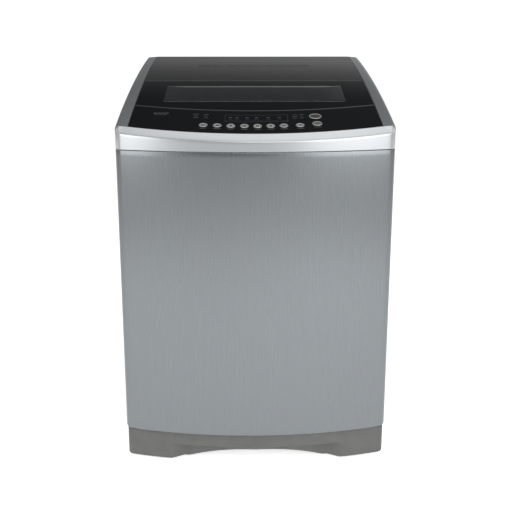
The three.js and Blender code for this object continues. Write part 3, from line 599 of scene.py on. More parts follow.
def print_ink(name, colour):
    """A printed mark: flat ink with slightly uneven cover."""
    made = Finish(name, colour, 0.5)
    made.colour_from(made.noise(1500, detail=2), tuple(0.8 * c for c in colour), colour)
    return made.roughness_from(made.noise(1200, detail=1), 0.45, 0.6).material


FINISHES = {}


def finish(name):
    return FINISHES[name]


def make_finishes(look):
    """Makes each finish once, so that every operator can use it by name."""
    FINISHES.update({
        "steel": lacquered_steel(tuple(look.steel_colour)),
        "silver": silver_plastic(),
        "gloss": piano_black(),
        "glass": smoked_glass(),
        "charcoal": charcoal_gloss(),
        "console": console_grey(),
        "base": grained_plastic("base_grey", tuple(look.base_colour)),
        "button": button_silver(),
        "zinc": galvanised(),
        "bright": bright_zinc(),
        "cast": cast_aluminium(),
        "drum": drum_steel(),
        "white": grained_plastic("white_plastic", (0.72, 0.73, 0.73), 1500, 0.1, (0.36, 0.46)),
        "collar": grained_plastic("collar_grey", (0.055, 0.057, 0.06), 1300, 0.2, (0.38, 0.5)),
        "rubber": black_rubber(),
        "board": circuit_green(),
        "tub": natural_plastic(),
        "ink": print_ink("panel_ink", (0.06, 0.061, 0.06)),
        "faint": print_ink("faint_ink", (0.024, 0.0245, 0.0245)),
        # Slot strip: a black insert, made dead matte black so that it also stands in as painted shade for the
        # dark inside of the slot.
        "slot": grained_plastic("slot_black_painted_shade", (0.003, 0.003, 0.003), 1500, 0.1, (0.6, 0.7)),
        "icon": print_ink("icon_ink", (0.012, 0.012, 0.012)),
        "warm": grained_plastic("warm_grey", (0.10, 0.094, 0.086), 2200, 0.05, (0.3, 0.36)),
        "olive": grained_plastic("button_centre", (0.035, 0.034, 0.031), 2200, 0.05, (0.26, 0.32)),
    })


# ---------------------------------------------------------------------------
# Cabinet
# ---------------------------------------------------------------------------

def skin_path(inset):
    """The cabinet's plan from the left rear return, round the front, to the right rear return."""
    whole = cabinet_plan(inset)
    turn = CORNER_STEPS - 1
    back_start = FRONT_STEPS + 1 + turn + SIDE_STEPS + 1 + turn
    back_end = back_start + FRONT_STEPS + 1
    ends = np.array([[0.268, BACK - inset]])
    return np.concatenate([ends * [-1, 1], whole[back_end:], whole[:back_start], ends])


def cabinet_skin(hem):
    """The steel sheet: a thin folded section carried along the open path round the front and sides.

    The section goes up the outer face, turns in over a hem at the top, comes down the inner face and
    turns in again at the bottom. The hems shrink to nothing on the way to the rear returns.
    """
    outer, inner = skin_path(0.0), skin_path(0.010)
    sheet = 0.0012
    rear = ease(outer[:, 1], 0.24, 0.30)
    side = ease(np.abs(outer[:, 0]), 0.26, HALF_WIDTH)
    lower = mixed(hem, 2 * hem, side) * (1 - rear) + 0.0016 * rear
    upper = np.full(len(outer), 0.0025) * (1 - rear) + 0.0016 * rear
    flange = mixed(0.010, 0.0018, rear)

    def row(inset, height):
        share = (inset / 0.010)[:, None] if np.ndim(inset) else inset / 0.010
        return np.column_stack([outer + (inner - outer) * share, np.zeros(len(outer)) + height])

    rows = []
    for angle in np.linspace(0, np.pi / 2, 7):
        rows.append(row(lower * (1 - math.sin(angle)), SKIN_BOTTOM + lower * (1 - math.cos(angle))))
    for share in np.linspace(0.02, 0.98, 9):
        rows.append(row(0.0, mixed(SKIN_BOTTOM, SKIN_TOP, share)))
    for angle in np.linspace(0, np.pi / 2, 5):
        rows.append(row(upper * (1 - math.cos(angle)), SKIN_TOP - upper * (1 - math.sin(angle))))
    rows.append(row(np.maximum(flange, upper + 0.0001), SKIN_TOP))
    rows.append(row(np.maximum(flange, upper + 0.0001), SKIN_TOP - sheet))
    rows.append(row(np.full(len(outer), sheet) + 0.0004, SKIN_TOP - sheet - 0.0004))
    rows.append(row(sheet, SKIN_TOP - 0.012))
    rows.append(row(sheet, SKIN_BOTTOM + 0.016))
    rows.append(row(np.maximum(flange, lower + 0.0001), SKIN_BOTTOM + sheet))
    rows.append(row(np.maximum(flange, lower + 0.0001), SKIN_BOTTOM))
    return open_strip(rows)


def rod_gusset(x, y):
    """A corner plate round a suspension rod: a ring of rays from the rod's hole.

    Each ray is as long as the nearest of the cabinet's walls, a slanting line across its corner, the
    plate's inner edges and the circle that leaves room for the tub.
    """
    angle = np.linspace(0, 2 * np.pi, 96, endpoint=False)
    cos, sin = np.cos(angle), np.sin(angle)
    away_x, away_y = math.copysign(1, x), math.copysign(1, y)
    wall_x = 0.2815 if y > 0 else HALF_WIDTH - 0.0018
    wall_y = BACK - 0.0245 if y > 0 else 9.0
    corner = math.sqrt(0.5) * (wall_x + (wall_y if y > 0 else -FRONT_CORNER)) - 0.0075
    limits = []
    for reach, way in (
        (abs(wall_x * away_x - x), cos * away_x), (0.025, -cos * away_x),
        (wall_y - abs(y), sin * away_y), (0.025, -sin * away_y),
        (corner - math.sqrt(0.5) * (abs(x) + abs(y)), math.sqrt(0.5) * (cos * away_x + sin * away_y)),
    ):
        limits.append(np.where(way > 1e-6, reach / np.maximum(way, 1e-6), 9.0))
    # The bowed front is met from inside its circle, and the tub's circle from outside.
    toward = cos * x + sin * (y - BOW_CENTRE)
    limits.append(np.sqrt(toward ** 2 - x * x - (y - BOW_CENTRE) ** 2 + (BOW_RADIUS - 0.0018) ** 2) - toward)
    along = cos * x + sin * (y - TUB_Y)
    root = along ** 2 - x * x - (y - TUB_Y) ** 2 + 0.276 ** 2
    limits.append(np.where((root > 0) & (along < 0), -along - np.sqrt(np.maximum(root, 0)), 9.0))
    reach = np.min(limits, axis=0)
    low, high = 0.700, 0.703
    ring = [np.column_stack([x + r * cos, y + r * sin, np.full(96, z)])
            for r, z in ((0.0052, low), (reach, low), (reach, high), (0.0052, high))]
    return ring_shell(ring)


# ---------------------------------------------------------------------------
# Back
# ---------------------------------------------------------------------------

def pressed_rib(along, across, start, end, width):
    """Height share of a long rounded rib: one inside its ends and half width, easing to none."""
    beyond = np.maximum(np.maximum(start - along, along - end), 0)
    distance = np.sqrt(beyond ** 2 + across ** 2)
    return 1 - ease(distance, width * 0.45, width)


def back_sheet():
    """The back sheet as a height field: a tray with folded edges, level ribs and two upright ribs."""
    x = np.linspace(-0.280, 0.280, 261)[None, :]
    z = np.linspace(SKIN_BOTTOM, SKIN_TOP, 241)[:, None]
    edge = BACK - 0.0015
    face = mixed(0.306, edge, ease(np.abs(x), 0.2575, 0.2620)) + 0 * z
    ribs = sum(pressed_rib(x, z - level, -0.19, 0.19, 0.012) for level in (0.42, 0.46, 0.50, 0.54, 0.58))
    ribs = ribs + sum(pressed_rib(z, x - side, 0.15, 0.36, 0.012) for side in (-0.19, -0.155, 0.155, 0.19))
    ribs = ribs + pressed_rib(x, z - 0.105, -0.20, 0.20, 0.010)
    outer = face + 0.0035 * np.clip(ribs, 0, 1)
    grid_x, grid_z = x + 0 * z, z + 0 * x
    # Rows run from the top down so that the outer face looks backwards.
    top = np.stack([grid_x, outer, grid_z], -1)[::-1]
    return slab(top, top - [0, 0.0012, 0])


def panel_screw(x, y, z, radius=0.0042):
    """A pan-head screw facing backwards, with a raised ring in place of a drive recess."""
    profile = softened([[0, y - 0.001], [radius, y - 0.001], [radius, y + 0.0008], [0.7 * radius, y + 0.0017],
                        [0.3 * radius, y + 0.0017], [0.3 * radius, y + 0.0008], [0, y + 0.0008]], 0.0003, 2)
    profile[:, 0] = np.maximum(profile[:, 0], 0)
    return turned_along_y(profile, x, z, 24)


def service_cover():
    """A shallow pressed plate: its middle stands out by a millimetre inside a soft step."""
    low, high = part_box("service_cover")
    x = np.linspace(low.x, high.x, 67)[None, :]
    z = np.linspace(low.z, high.z, 65)[:, None]
    in_x = np.minimum(x - low.x, high.x - x)
    in_z = np.minimum(z - low.z, high.z - z)
    inside = ease(np.minimum(in_x, in_z), 0.014, 0.020)
    y = mixed(high.y - 0.0014, high.y, inside)
    top = np.stack([x + 0 * z, y, z + 0 * x], -1)[::-1]
    bottom = top.copy()
    bottom[..., 1] = low.y
    return slab(top, bottom)


def threaded(radius, start, end, pitch, depth=0.0006):
    """Radius and distance of a screw neck: a row of rings, each a rounded ridge."""
    steps = np.linspace(start, end, int((end - start) / pitch) * 6)
    ridge = radius - depth * (0.5 + 0.5 * np.cos(2 * np.pi * (steps - start) / pitch))
    return np.column_stack([ridge, steps])


def rear_fitting(x, z, flange, barrel_radius, bore):
    """A flanged tube through the back sheet, with soft edges."""
    face = 0.3063
    inner_end, outer_end, flange_top = 0.288, 0.319, face + 0.003
    profile = [[bore, inner_end], [barrel_radius, inner_end], [barrel_radius, face], [flange, face],
               [flange, flange_top], [barrel_radius - 0.001, flange_top], [barrel_radius - 0.001, outer_end],
               [bore, outer_end]]
    return turned_along_y(softened(profile, 0.0006), x, z)


def water_inlet(x, z):
    """A screw neck with a bore and a fine strainer deep inside it."""
    neck = threaded(0.012, 0.307, 0.3185, 0.0022)
    profile = np.concatenate([[[0.0, 0.296], [0.008, 0.296], [0.008, 0.3192]], [[0.0108, 0.3194]], neck[::-1],
                              [[0.0118, 0.300], [0.0118, 0.290], [0.0, 0.290]]])
    return turned_along_y(profile, x, z)


# ---------------------------------------------------------------------------
# Base
# ---------------------------------------------------------------------------

def base_moulding(lobe_edge, recess):
    """The base: a section that changes on its way round the cabinet's plan.

    A level band runs all round. Under it the wall stands back by the recess between the corner lobes,
    and comes out flush with the band at the lobes; the change eases over a few centimetres. At the front
    and back the scoop also runs out towards the middle, where the lower edge is a parabola's crest.
    """
    outer, inner = cabinet_plan(0.003), cabinet_plan(recess + 0.006)
    reach = recess + 0.003
    x, y = outer[:, 0], outer[:, 1]
    on_side = np.abs(x) > HALF_WIDTH - 0.010
    lobe_across = ease(np.abs(x), lobe_edge - 0.030, lobe_edge)
    lobe_along = np.maximum(1 - ease(y, -0.190, -0.165), ease(y, 0.200, 0.225))
    lobe = np.where(on_side, lobe_along, lobe_across)
    arch = np.where(on_side, 0.027, np.maximum(0.0356 - 1.15 * x ** 2, 0.0055))
    bottom = mixed(arch, 0.005, ease(lobe, 0.0, 0.9))
    scoop = np.where(on_side, 1.0, 0.8 * np.clip(np.abs(x) / 0.185, 0, 1) ** 1.2)
    back = recess * scoop * (1 - lobe)
    top = SKIN_BOTTOM - GAP

    def row(inset, height):
        share = (np.zeros(len(outer)) + inset) / reach
        return np.column_stack([outer + (inner - outer) * share[:, None], np.zeros(len(outer)) + height])

    flat = 1 - lobe
    return ring_shell([
        row(back + 0.0016, bottom), row(back + 0.0004, bottom + 0.0005), row(back, bottom + 0.0018),
        row(back, mixed(bottom, 0.0392, 0.5)), row(back, 0.0385 - 0.001 * flat), row(back * 0.92, 0.0400),
        row(back * 0.12, 0.0418), row(back * 0.02, 0.0424), row(0.0, 0.0434), row(0.0, 0.0550),
        row(0.0, top - 0.0014), row(0.0004, top - 0.0004), row(0.0014, top), row(0.005, top),
        row(0.005, 0.0500), row(np.maximum(back, 0) + 0.0035, 0.0470), row(back + 0.0035, bottom + 0.0006),
        row(back + 0.0030, bottom),
    ])


def base_web():
    """The level plate inside the base, between the outer wall and a wide opening."""
    outer = cabinet_plan(0.0085)
    opening = square_plan(0.20, -0.15, 0.18, radius=0.03)
    low, high = 0.0425, 0.0455
    corners = ((outer, low), (outer, high), (opening, high), (opening, low))
    return ring_shell([at_height(line, height) for line, height in corners])


def screw_foot(x, y):
    """A round foot: a ribbed pad and cone, a threaded stem and a six-sided nut."""
    pad = softened([[0, 0], [0.0205, 0], [0.021, 0.0012], [0.021, 0.0045], [0.0185, 0.0058], [0.009, 0.0105],
                    [0.0062, 0.012], [0.0, 0.012]], 0.0004, 2)
    pad[:, 0] = np.maximum(pad[:, 0], 0)
    thread = threaded(0.006, 0.0118, 0.060, 0.0024)
    stem = np.concatenate([[[0.0, 0.0115]], thread, [[0.0, 0.060]]])
    nut = [[0.0, 0.0312], [0.0092, 0.0312], [0.0099, 0.0318],
           [0.0099, 0.0410], [0.0092, 0.0416], [0.0, 0.0416]]
    return [turned(pad, x, y, 48), turned(stem, x, y, 24), turned(nut, x, y, 6)]


# ---------------------------------------------------------------------------
# Top frame
# ---------------------------------------------------------------------------

def top_shell(drop, run):
    """The silver top: a ring whose section goes from a sloped fascia in front to round rails at the sides.

    Going up from the seam, the front section rises, leans back over the run while it climbs the drop,
    and breaks with a crisp edge just before the panel. At the sides and back a quarter circle takes its
    place. The inner edge goes round the pockets of panel, lid and console.
    """
    share = front_share()
    outer, inner = cabinet_plan(0.0), cabinet_plan(0.0125)
    pocket = lambda grow: plan(-POCKET_HALF - grow, POCKET_HALF + grow, lambda x: bow(x, PANEL_FRONT - grow),
                               straight(BACK - 0.004 + grow), 0.003 + grow)

    def row(inset, depth=None, height=None):
        part = (np.zeros(len(outer)) + inset) / 0.0125
        line = outer + (inner - outer) * part[:, None]
        return below_crown(line, depth) if height is None else at_height(line, height)

    slope_in = np.array([0.0, 0.02, 0.07, 0.16, 0.30, 0.93, 0.975, 1.0]) * run
    slope_down = np.array([1.16, 1.04, 0.93, 0.82, 0.68, 0.045, 0.008, 0.0]) * drop
    angles = np.linspace(0, np.pi / 2, len(slope_in))
    rail = mixed(mixed(0.0075, 0.0122, ease(outer[:, 1], -0.26, 0.24)), 0.0030, back_share())
    rows = [row(0.0006, height=FRAME_BOTTOM), row(0.0, height=FRAME_BOTTOM + 0.0008)]
    rows.append(row(0.0, depth=mixed(rail + 0.010, 1.16 * drop + 0.002, share)))
    for inset, down, angle in zip(slope_in, slope_down, angles):
        rows.append(row(mixed(rail * (1 - math.cos(angle)), inset, share),
                        depth=mixed(rail * (1 - math.sin(angle)), down, share)))
    # Behind the console the rim stays a little lower than the crown, so the console hides it from the front.
    lower = 0.0022 * back_share()
    for line in rows[3:]:
        line[:, 2] -= lower
    edge = row(mixed(rail + 0.0002, run + 0.00005, share), depth=lower)
    lip = below_crown(pocket(0.0004), 0.0)
    for step in (0.25, 0.5, 0.75):
        between = mixed(edge, lip, step)
        rows.append(below_crown(between[:, :2], lower))
    for grow, depth in ((0.0004, lower), (0.0001, 0.0001 + lower), (0.0, 0.0005 + lower), (0.0, 0.0034),
                        (0.0, 0.0058), (0.0025, 0.0060)):
        rows.append(below_crown(pocket(grow), depth))
    rows.append(row(mixed(0.0045, 0.0060, share), depth=mixed(0.0105, 1.3 * drop, share)))
    rows.append(row(0.004, depth=mixed(0.014, 1.5 * drop, share)))
    rows.append(row(0.004, height=FRAME_BOTTOM))
    return ring_shell(rows)


def lid_well():
    """The deck under the lid: a wall round the well, a soft inner corner and a run to the round opening."""
    line = lambda grow: half_bowed_plan(POCKET_HALF, PANEL_BACK, WELL_BACK, -grow, 0.003)
    hole = lambda radius: circle_under(line(0.0), radius, OPENING_Y)
    rows = [
        below_crown(line(0.0035), 0.0060), below_crown(line(0.0), 0.0060), below_crown(line(0.0), 0.0150),
        below_crown(line(-0.0006), 0.0178), below_crown(line(-0.0022), 0.0194),
        below_crown(line(-0.005), WELL_DEPTH),
    ]
    start, end = line(-0.005), hole(OPENING_RADIUS + 0.004)
    rows += [below_crown(mixed(start, end, share), WELL_DEPTH) for share in (0.25, 0.5, 0.75, 1.0)]
    for wider, deeper in ((0.0012, 0.0010), (0.0, 0.0036), (0.0, 0.006), (0.003, 0.006)):
        rows.append(below_crown(hole(OPENING_RADIUS + wider), WELL_DEPTH + deeper))
    rows += [below_crown(line(0.0), WELL_DEPTH + 0.004), below_crown(line(0.0035), WELL_DEPTH + 0.001)]
    return ring_shell(rows)


def well_walls():
    """Thin upright strips that close the well's front and back under the panel and the console."""
    x = np.linspace(-POCKET_HALF, POCKET_HALF, 49)
    strips = []
    thick, low, high = 0.0035, 0.0062, 0.0034
    front_wall = (bow(x, PANEL_BACK - thick), bow(x, PANEL_BACK))
    back_wall = (x * 0 + WELL_BACK, x * 0 + WELL_BACK + thick)
    for near, far in (front_wall, back_wall):
        lines = []
        for y, depth in ((near, low), (far, low), (far, high), (near, high)):
            lines.append(np.column_stack([x, y, crown(y) - depth]))
        strips.append(open_strip(lines))
    return strips


def opening_collar():
    """A turned collar whose top follows the well's deck, so its height changes round the circle."""
    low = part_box("opening_collar")[0]
    angle = np.linspace(0, 2 * np.pi, 160, endpoint=False)

    def line(radius, below=None, height=None):
        x, y = radius * np.cos(angle), OPENING_Y + radius * np.sin(angle)
        z = crown(y) - WELL_DEPTH - below if height is None else np.full_like(x, height)
        return np.column_stack([x, y, z])

    outer, inner = OPENING_RADIUS - GAP, OPENING_RADIUS - 0.004
    return ring_shell([
        line(outer, height=low.z + 0.0006), line(outer, below=0.0008), line(outer - 0.0006, below=0.0002),
        line(inner + 0.0010, below=0.0002), line(inner, below=0.0012), line(inner, height=low.z + 0.012),
        line(inner + 0.0004, height=low.z + 0.0004), line(inner + 0.0012, height=low.z),
        line(outer - 0.0006, height=low.z),
    ])


# ---------------------------------------------------------------------------
# Panel, display and marks
# ---------------------------------------------------------------------------

def crowned_slab(left, right, front, back, top, bottom, across=97, along=25):
    """A plate under the crown between two depths; front and back are lines given as functions of x."""
    x = np.linspace(left, right, across)[None, :]
    share = np.linspace(0, 1, along)[:, None]
    y = mixed(front(x), back(x), share)
    grid_x = x + 0 * y
    upper = np.stack([grid_x, y, crown(y) - top], -1)
    return slab(upper, np.stack([grid_x, y, crown(y) - bottom], -1))


def square_to_crown(x, y, profile, segments=48):
    """A profile of radius and height turned about the line square to the crown at one point."""
    points, faces = turned(profile, 0.0, 0.0, segments)
    lean = crown_angle(y)
    height = float(crown(y))
    depth = points[:, 1] * math.cos(lean) - points[:, 2] * math.sin(lean)
    rise = points[:, 1] * math.sin(lean) + points[:, 2] * math.cos(lean)
    return np.column_stack([x + points[:, 0], y + depth, height + rise]), faces


def mark_bar(x, y, length, width, lift=0.00012, lean=0.0):
    """A printed bar: a small plate with round ends laid on the crown, turned in plan by an angle."""
    angle = np.linspace(0, 2 * np.pi, 24, endpoint=False)
    half, radius = max(length / 2 - width / 2, 0.0), width / 2
    local_x = np.sign(np.cos(angle)) * half + radius * np.cos(angle)
    local_y = radius * np.sin(angle)
    px = x + local_x * math.cos(lean) - local_y * math.sin(lean)
    py = y + local_x * math.sin(lean) + local_y * math.cos(lean)
    rows = [np.column_stack([px, py, crown(py) + h]) for h in (-0.0002, lift)]
    return capped_shell(rows)


def mark_ring(x, y, radius, width, lift=0.00012):
    """A printed ring laid on the crown."""
    angle = np.linspace(0, 2 * np.pi, 40, endpoint=False)
    rows = []
    outer, inner, sunk = radius + width / 2, radius - width / 2, -0.0002
    for r, h in ((outer, sunk), (outer, lift), (inner, lift), (inner, sunk)):
        py = y + r * np.sin(angle)
        rows.append(np.column_stack([x + r * np.cos(angle), py, crown(py) + h]))
    return ring_shell(rows)


def button_place(name):
    """Plan centre and radius of a button, from its box in the frame."""
    low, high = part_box(name)
    return *middle(name), (high.x - low.x) / 2


def true_button_y(name):
    """The y at which the button's axis meets the crown, from the middle of its box."""
    _, y, _ = button_place(name)
    lean = crown_angle(y)
    # The body reaches from two millimetres below the crown to a little above it along the leaning axis.
    return y - 0.0007 * math.sin(lean)


# ---------------------------------------------------------------------------
# Lid
# ---------------------------------------------------------------------------

def lid_half(outline, hole, edge, rim):
    """A tray turned upside down, with an opening: a closed section carried round the plan.

    The section climbs the outer wall, turns over an edge whose radius may change round the plan, crosses
    the top under the crown, drops into the opening and comes back along the underside.
    """
    count = len(outline(0.0))
    radius = np.zeros(count) + edge
    base, moved = outline(0.0), outline(0.004)

    def row(inset, depth):
        share = (np.zeros(count) + inset) / 0.004
        return below_crown(base + (moved - base) * share[:, None], depth)

    rows = [row(0.0005, LID_THICK), row(0.0, LID_THICK - 0.0006), row(0.0, mixed(radius, LID_THICK, 0.4))]
    for angle in np.linspace(0, np.pi / 2, 6):
        rows.append(row(radius * (1 - math.cos(angle)), radius * (1 - math.sin(angle))))
    start = base + (moved - base) * ((radius + 0.0010) / 0.004)[:, None]
    for share in (0.0, 0.2, 0.4, 0.6, 0.8, 1.0):
        rows.append(below_crown(mixed(start, hole(0.0022), share), 0.0))
    # Over the hole's soft edge, down its wall, and out along the underside.
    for grow, depth in ((0.0009, 0.0), (0.0003, 0.0002), (0.0, 0.0008), (0.0, rim), (0.0025, rim),
                        (0.0028, LID_WALL + 0.0005), (0.0035, LID_WALL)):
        rows.append(below_crown(hole(grow), depth))
    for share in (0.33, 0.67):
        rows.append(below_crown(mixed(hole(0.0035), outline(LID_WALL + 0.001), share), LID_WALL))
    for inset, depth in ((LID_WALL + 0.001, LID_WALL), (LID_WALL, LID_WALL + 0.001),
                         (LID_WALL, LID_THICK - 0.0004), (LID_WALL - 0.0004, LID_THICK)):
        rows.append(below_crown(outline(inset), depth))
    return ring_shell(rows)


def fold_z():
    return float(crown(FOLD_Y)) - LID_THICK


def hinge_z():
    return float(crown(HINGE_Y)) - (LID_BACK - HINGE_Y)


# ---------------------------------------------------------------------------
# Washing unit
# ---------------------------------------------------------------------------

def perforated_wall(radius, low, high, pitch, hole):
    """A drum wall of repeated square cells, each with an eight-sided hole, rolled into a cylinder.

    One cell is a ring of eight faces between a circle and the cell's edge. It is repeated across and up
    as whole arrays, and the flat sheet is rolled by turning its length into an angle.
    """
    across = int(round(2 * math.pi * radius / pitch))
    up = int(round((high - low) / pitch))
    angle = np.arange(8) * np.pi / 4
    ring = np.column_stack([np.cos(angle), np.sin(angle)])
    square = ring / np.max(np.abs(ring), axis=1, keepdims=True) * 0.5
    cell = np.concatenate([ring * hole / pitch, square]) + 0.5
    i, j = np.meshgrid(np.arange(across), np.arange(up), indexing="ij")
    corner = np.column_stack([i.ravel(), j.ravel()])[:, None, :]
    flat = (corner + cell[None]).reshape(-1, 2)
    turn = flat[:, 0] / across * 2 * np.pi
    height = low + flat[:, 1] / up * (high - low)
    points = np.column_stack([radius * np.cos(turn), TUB_Y + radius * np.sin(turn), height])
    k = np.arange(8)
    faces = np.column_stack([k + 8, (k + 1) % 8 + 8, (k + 1) % 8, k])
    starts = (np.arange(across * up) * 16)[:, None, None]
    return points, [(faces[None] + starts).reshape(-1, 4)], across


def drum_rest(radius, low, wall_low, wall_high, high, segments):
    """The plain parts of the drum: its floor, the turn up into the wall, and the plain strip at its top."""
    shaft_hole, turn_up = 0.012, 0.012
    curve = [[radius - turn_up * (1 - math.sin(a)), low + turn_up * (1 - math.cos(a))]
             for a in np.linspace(0, np.pi / 2, 7)]
    floor = [[r, low] for r in np.linspace(shaft_hole, radius - turn_up, 10)[:-1]]
    lower = turned(floor + curve + [[radius, wall_low]], segments=segments, closed=False)
    upper = turned([[radius, wall_high], [radius, high]], segments=segments, closed=False)
    return [lower, upper]


def pulsator_disc():
    """The pulsator as a height field on rings and rays.

    Height is a shallow cone that falls to the rim, plus three broad curved vanes that swell in the
    middle of their length, plus fine ribs between them, and a hub that rises in the centre.
    """
    radius = 0.172
    radii = np.concatenate([[0.0], np.linspace(0.006, radius - 0.002, 46), [radius - 0.0006, radius]])
    turn = np.linspace(0, 2 * np.pi, 192, endpoint=False)
    r, a = radii[:, None], turn[None, :]
    cone = mixed(0.2355, 0.2290, ease(r, 0.05, radius))
    sweep = a - 1.6 * r / radius
    vane = np.clip(np.cos(3 * sweep), 0, 1) ** 6
    body = ease(r, 0.030, 0.070) * (1 - ease(r, 0.125, 0.162))
    small = np.clip(np.cos(3 * sweep + np.pi), 0, 1) ** 8 * ease(r, 0.07, 0.09) * (1 - ease(r, 0.14, 0.165))
    hub = 0.0085 * (1 - ease(r, 0.030, 0.052))
    height = cone + 0.0205 * vane * body + 0.005 * small + hub
    height = height - 0.0022 * ease(r, radius - 0.003, radius)
    underside = 0.2222
    rings = [*zip(radii, height), *((r, np.full(len(turn), underside)) for r in (radius, 0.10, 0.0))]
    return ring_shell([np.column_stack([r * np.cos(turn), TUB_Y + r * np.sin(turn), h]) for r, h in rings])


def spring_coil(x, y):
    """A helical wire: a small circle carried round and up, with closer turns towards both ends."""
    low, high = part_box("suspension_spring_front_left")[0].z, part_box("suspension_spring_front_left")[1].z
    wire, mean, turns = 0.0019, 0.0118, 7
    t = np.linspace(0, 1, 24 * turns + 1)[:, None]
    lift = t - 0.62 * np.sin(2 * np.pi * t) / (2 * np.pi)
    centre = low + wire + (high - low - 2 * wire) * lift
    turn = 2 * np.pi * turns * t
    phi = np.linspace(0, 2 * np.pi, 10, endpoint=False)[None, :]
    radius = mean + wire * np.cos(phi)
    lines = np.stack([x + radius * np.cos(turn), y + radius * np.sin(turn), centre + wire * np.sin(phi)], -1)
    return capped_shell(list(lines))


# ---------------------------------------------------------------------------
# Settings
# ---------------------------------------------------------------------------

class WasherCabinetSettings(bpy.types.PropertyGroup):
    """Sizes and colours of the cabinet and the base."""
    steel_colour: FloatVectorProperty(name="Steel colour", description="Colour of the lacquered steel",
                                      subtype="COLOR", size=3, min=0.0, max=1.0,
                                      default=(0.166, 0.178, 0.187))
    base_colour: FloatVectorProperty(name="Base colour", description="Colour of the moulded base",
                                     subtype="COLOR", size=3, min=0.0, max=1.0, default=(0.078, 0.078, 0.076))
    hem_radius: FloatProperty(name="Hem radius", description="Radius of the steel's lower edge",
                              unit="LENGTH", min=0.001, max=0.005, default=0.003)
    lobe_edge: FloatProperty(name="Lobe edge", description="Sideways place where the corner lobes begin",
                             unit="LENGTH", min=0.15, max=0.25, default=0.198)
    recess: FloatProperty(name="Recess", description="How far the base stands back between its lobes",
                          unit="LENGTH", min=0.0, max=0.032, default=0.027)


class WasherTopSettings(bpy.types.PropertyGroup):
    """Sizes of the top frame and the lid."""
    fascia_drop: FloatProperty(name="Fascia drop", description="Height of the sloped band of the fascia",
                               unit="LENGTH", min=0.004, max=0.02, default=0.0118)
    fascia_run: FloatProperty(name="Fascia run", description="Depth of the sloped band of the fascia",
                              unit="LENGTH", min=0.004, max=0.0124, default=0.0122)
    lid_edge: FloatProperty(name="Lid edge", description="Radius of the lid's edges",
                            unit="LENGTH", min=0.0005, max=0.003, default=0.0014)


class WasherDrumSettings(bpy.types.PropertyGroup):
    """Sizes of the drum and its springs."""
    hole_pitch: FloatProperty(name="Hole pitch", description="Distance between the drum's holes",
                              unit="LENGTH", min=0.015, max=0.06, default=0.024)
    hole_radius: FloatProperty(name="Hole radius", description="Radius of the drum's holes",
                               unit="LENGTH", min=0.001, max=0.008, default=0.0030)
    ribs: IntProperty(name="Ring ribs", description="Number of ribs on the balance ring",
                      min=12, max=96, default=36)


class WasherStageSettings(bpy.types.PropertyGroup):
    """Floor, lights and camera."""
    floor_colour: FloatVectorProperty(name="Floor colour", description="Colour of the floor",
                                      subtype="COLOR", size=3, min=0.0, max=1.0, default=(0.93, 0.93, 0.93))
    top_light: FloatProperty(name="Top light", description="Power of the soft light overhead",
                             subtype="POWER", min=0.0, max=1000.0, default=28.0)
    side_light: FloatProperty(name="Side lights", description="Power of each soft light at the sides",
                              subtype="POWER", min=0.0, max=1000.0, default=13.0)
    floor_light: FloatProperty(name="Floor light",
                               description="Power of the soft light over the floor in front",
                               subtype="POWER", min=0.0, max=1000.0, default=11.0)
    surround: FloatProperty(name="Surround", description="Brightness of the room",
                            min=0.0, max=4.0, default=0.9)
    lens: FloatProperty(name="Lens", description="Focal length of the camera", unit="CAMERA",
                        min=20.0, max=200.0, default=53.16)


# ---------------------------------------------------------------------------
# Operators
# ---------------------------------------------------------------------------

class WASHER_OT_finishes(bpy.types.Operator):
    """Make the materials of every piece"""
    bl_idname = "washer.finishes"
    bl_label = "Make Finishes"

    def execute(self, context):
        make_finishes(context.scene.washer_cabinet)
        return {"FINISHED"}


class WASHER_OT_cabinet(bpy.types.Operator):
    """Build the steel skin and the plates that hold the suspension rods"""
    bl_idname = "washer.cabinet"
    bl_label = "Build Cabinet"

    def execute(self, context):
        settings = context.scene.washer_cabinet
        make_piece("cabinet_skin", [cabinet_skin(settings.hem_radius)], finish("steel"), "cabinet",
                   ("cabinet_wrap",))
        plates = [rod_gusset(*middle(f"suspension_rod_{place}")) for place in CORNER_PLACES]
        make_piece("corner_gussets", plates, finish("zinc"), "cabinet", bevel=0.0004)
        return {"FINISHED"}


class WASHER_OT_back(bpy.types.Operator):
    """Build the back sheet, its cover, screws and fittings"""
    bl_idname = "washer.back"
    bl_label = "Build Back"

    def execute(self, context):
        make_piece("back_sheet", [back_sheet()], finish("zinc"), "cabinet", ("rear_panel",))
        make_piece("back_cover", [service_cover()], finish("zinc"), "cabinet",
                   ("service_cover",), bevel=0.0004)
        low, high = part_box("service_cover")
        cover_y = high.y - 0.0014
        screws = [panel_screw(x, cover_y, z) for x in (low.x + 0.008, high.x - 0.008)
                  for z in (low.z + 0.008, (low.z + high.z) / 2, high.z - 0.008)]
        screws += [panel_screw(x, BACK - 0.0019, z) for x in (-0.2655, 0.2655)
                   for z in (0.09, 0.25, 0.40, 0.55, 0.70)]
        screws += [panel_screw(x, 0.306, 0.708) for x in (-0.21, -0.07, 0.07, 0.21)]
        make_piece("back_screws", screws, finish("bright"), "cabinet")
        fittings = (("cord_gland", 0.015, 0.010, 0.0045), ("drain_spigot", 0.021, 0.014, 0.0105))
        for name, flange, tube, bore in fittings:
            low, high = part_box(name)
            shape = rear_fitting(middle(name)[0], (low.z + high.z) / 2, flange, tube, bore)
            make_piece(f"{name}_moulding", [shape], finish("base"), "cabinet", (name,))
        low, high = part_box("inlet_valve")
        body_back = 0.3038
        body = block(low.x, high.x, low.y, body_back, low.z, high.z)
        necks = [water_inlet(x, (low.z + high.z) / 2) for x in (0.150, 0.192)]
        make_piece("water_valve", [body, *necks], finish("white"), "cabinet",
                   ("inlet_valve",))
        return {"FINISHED"}


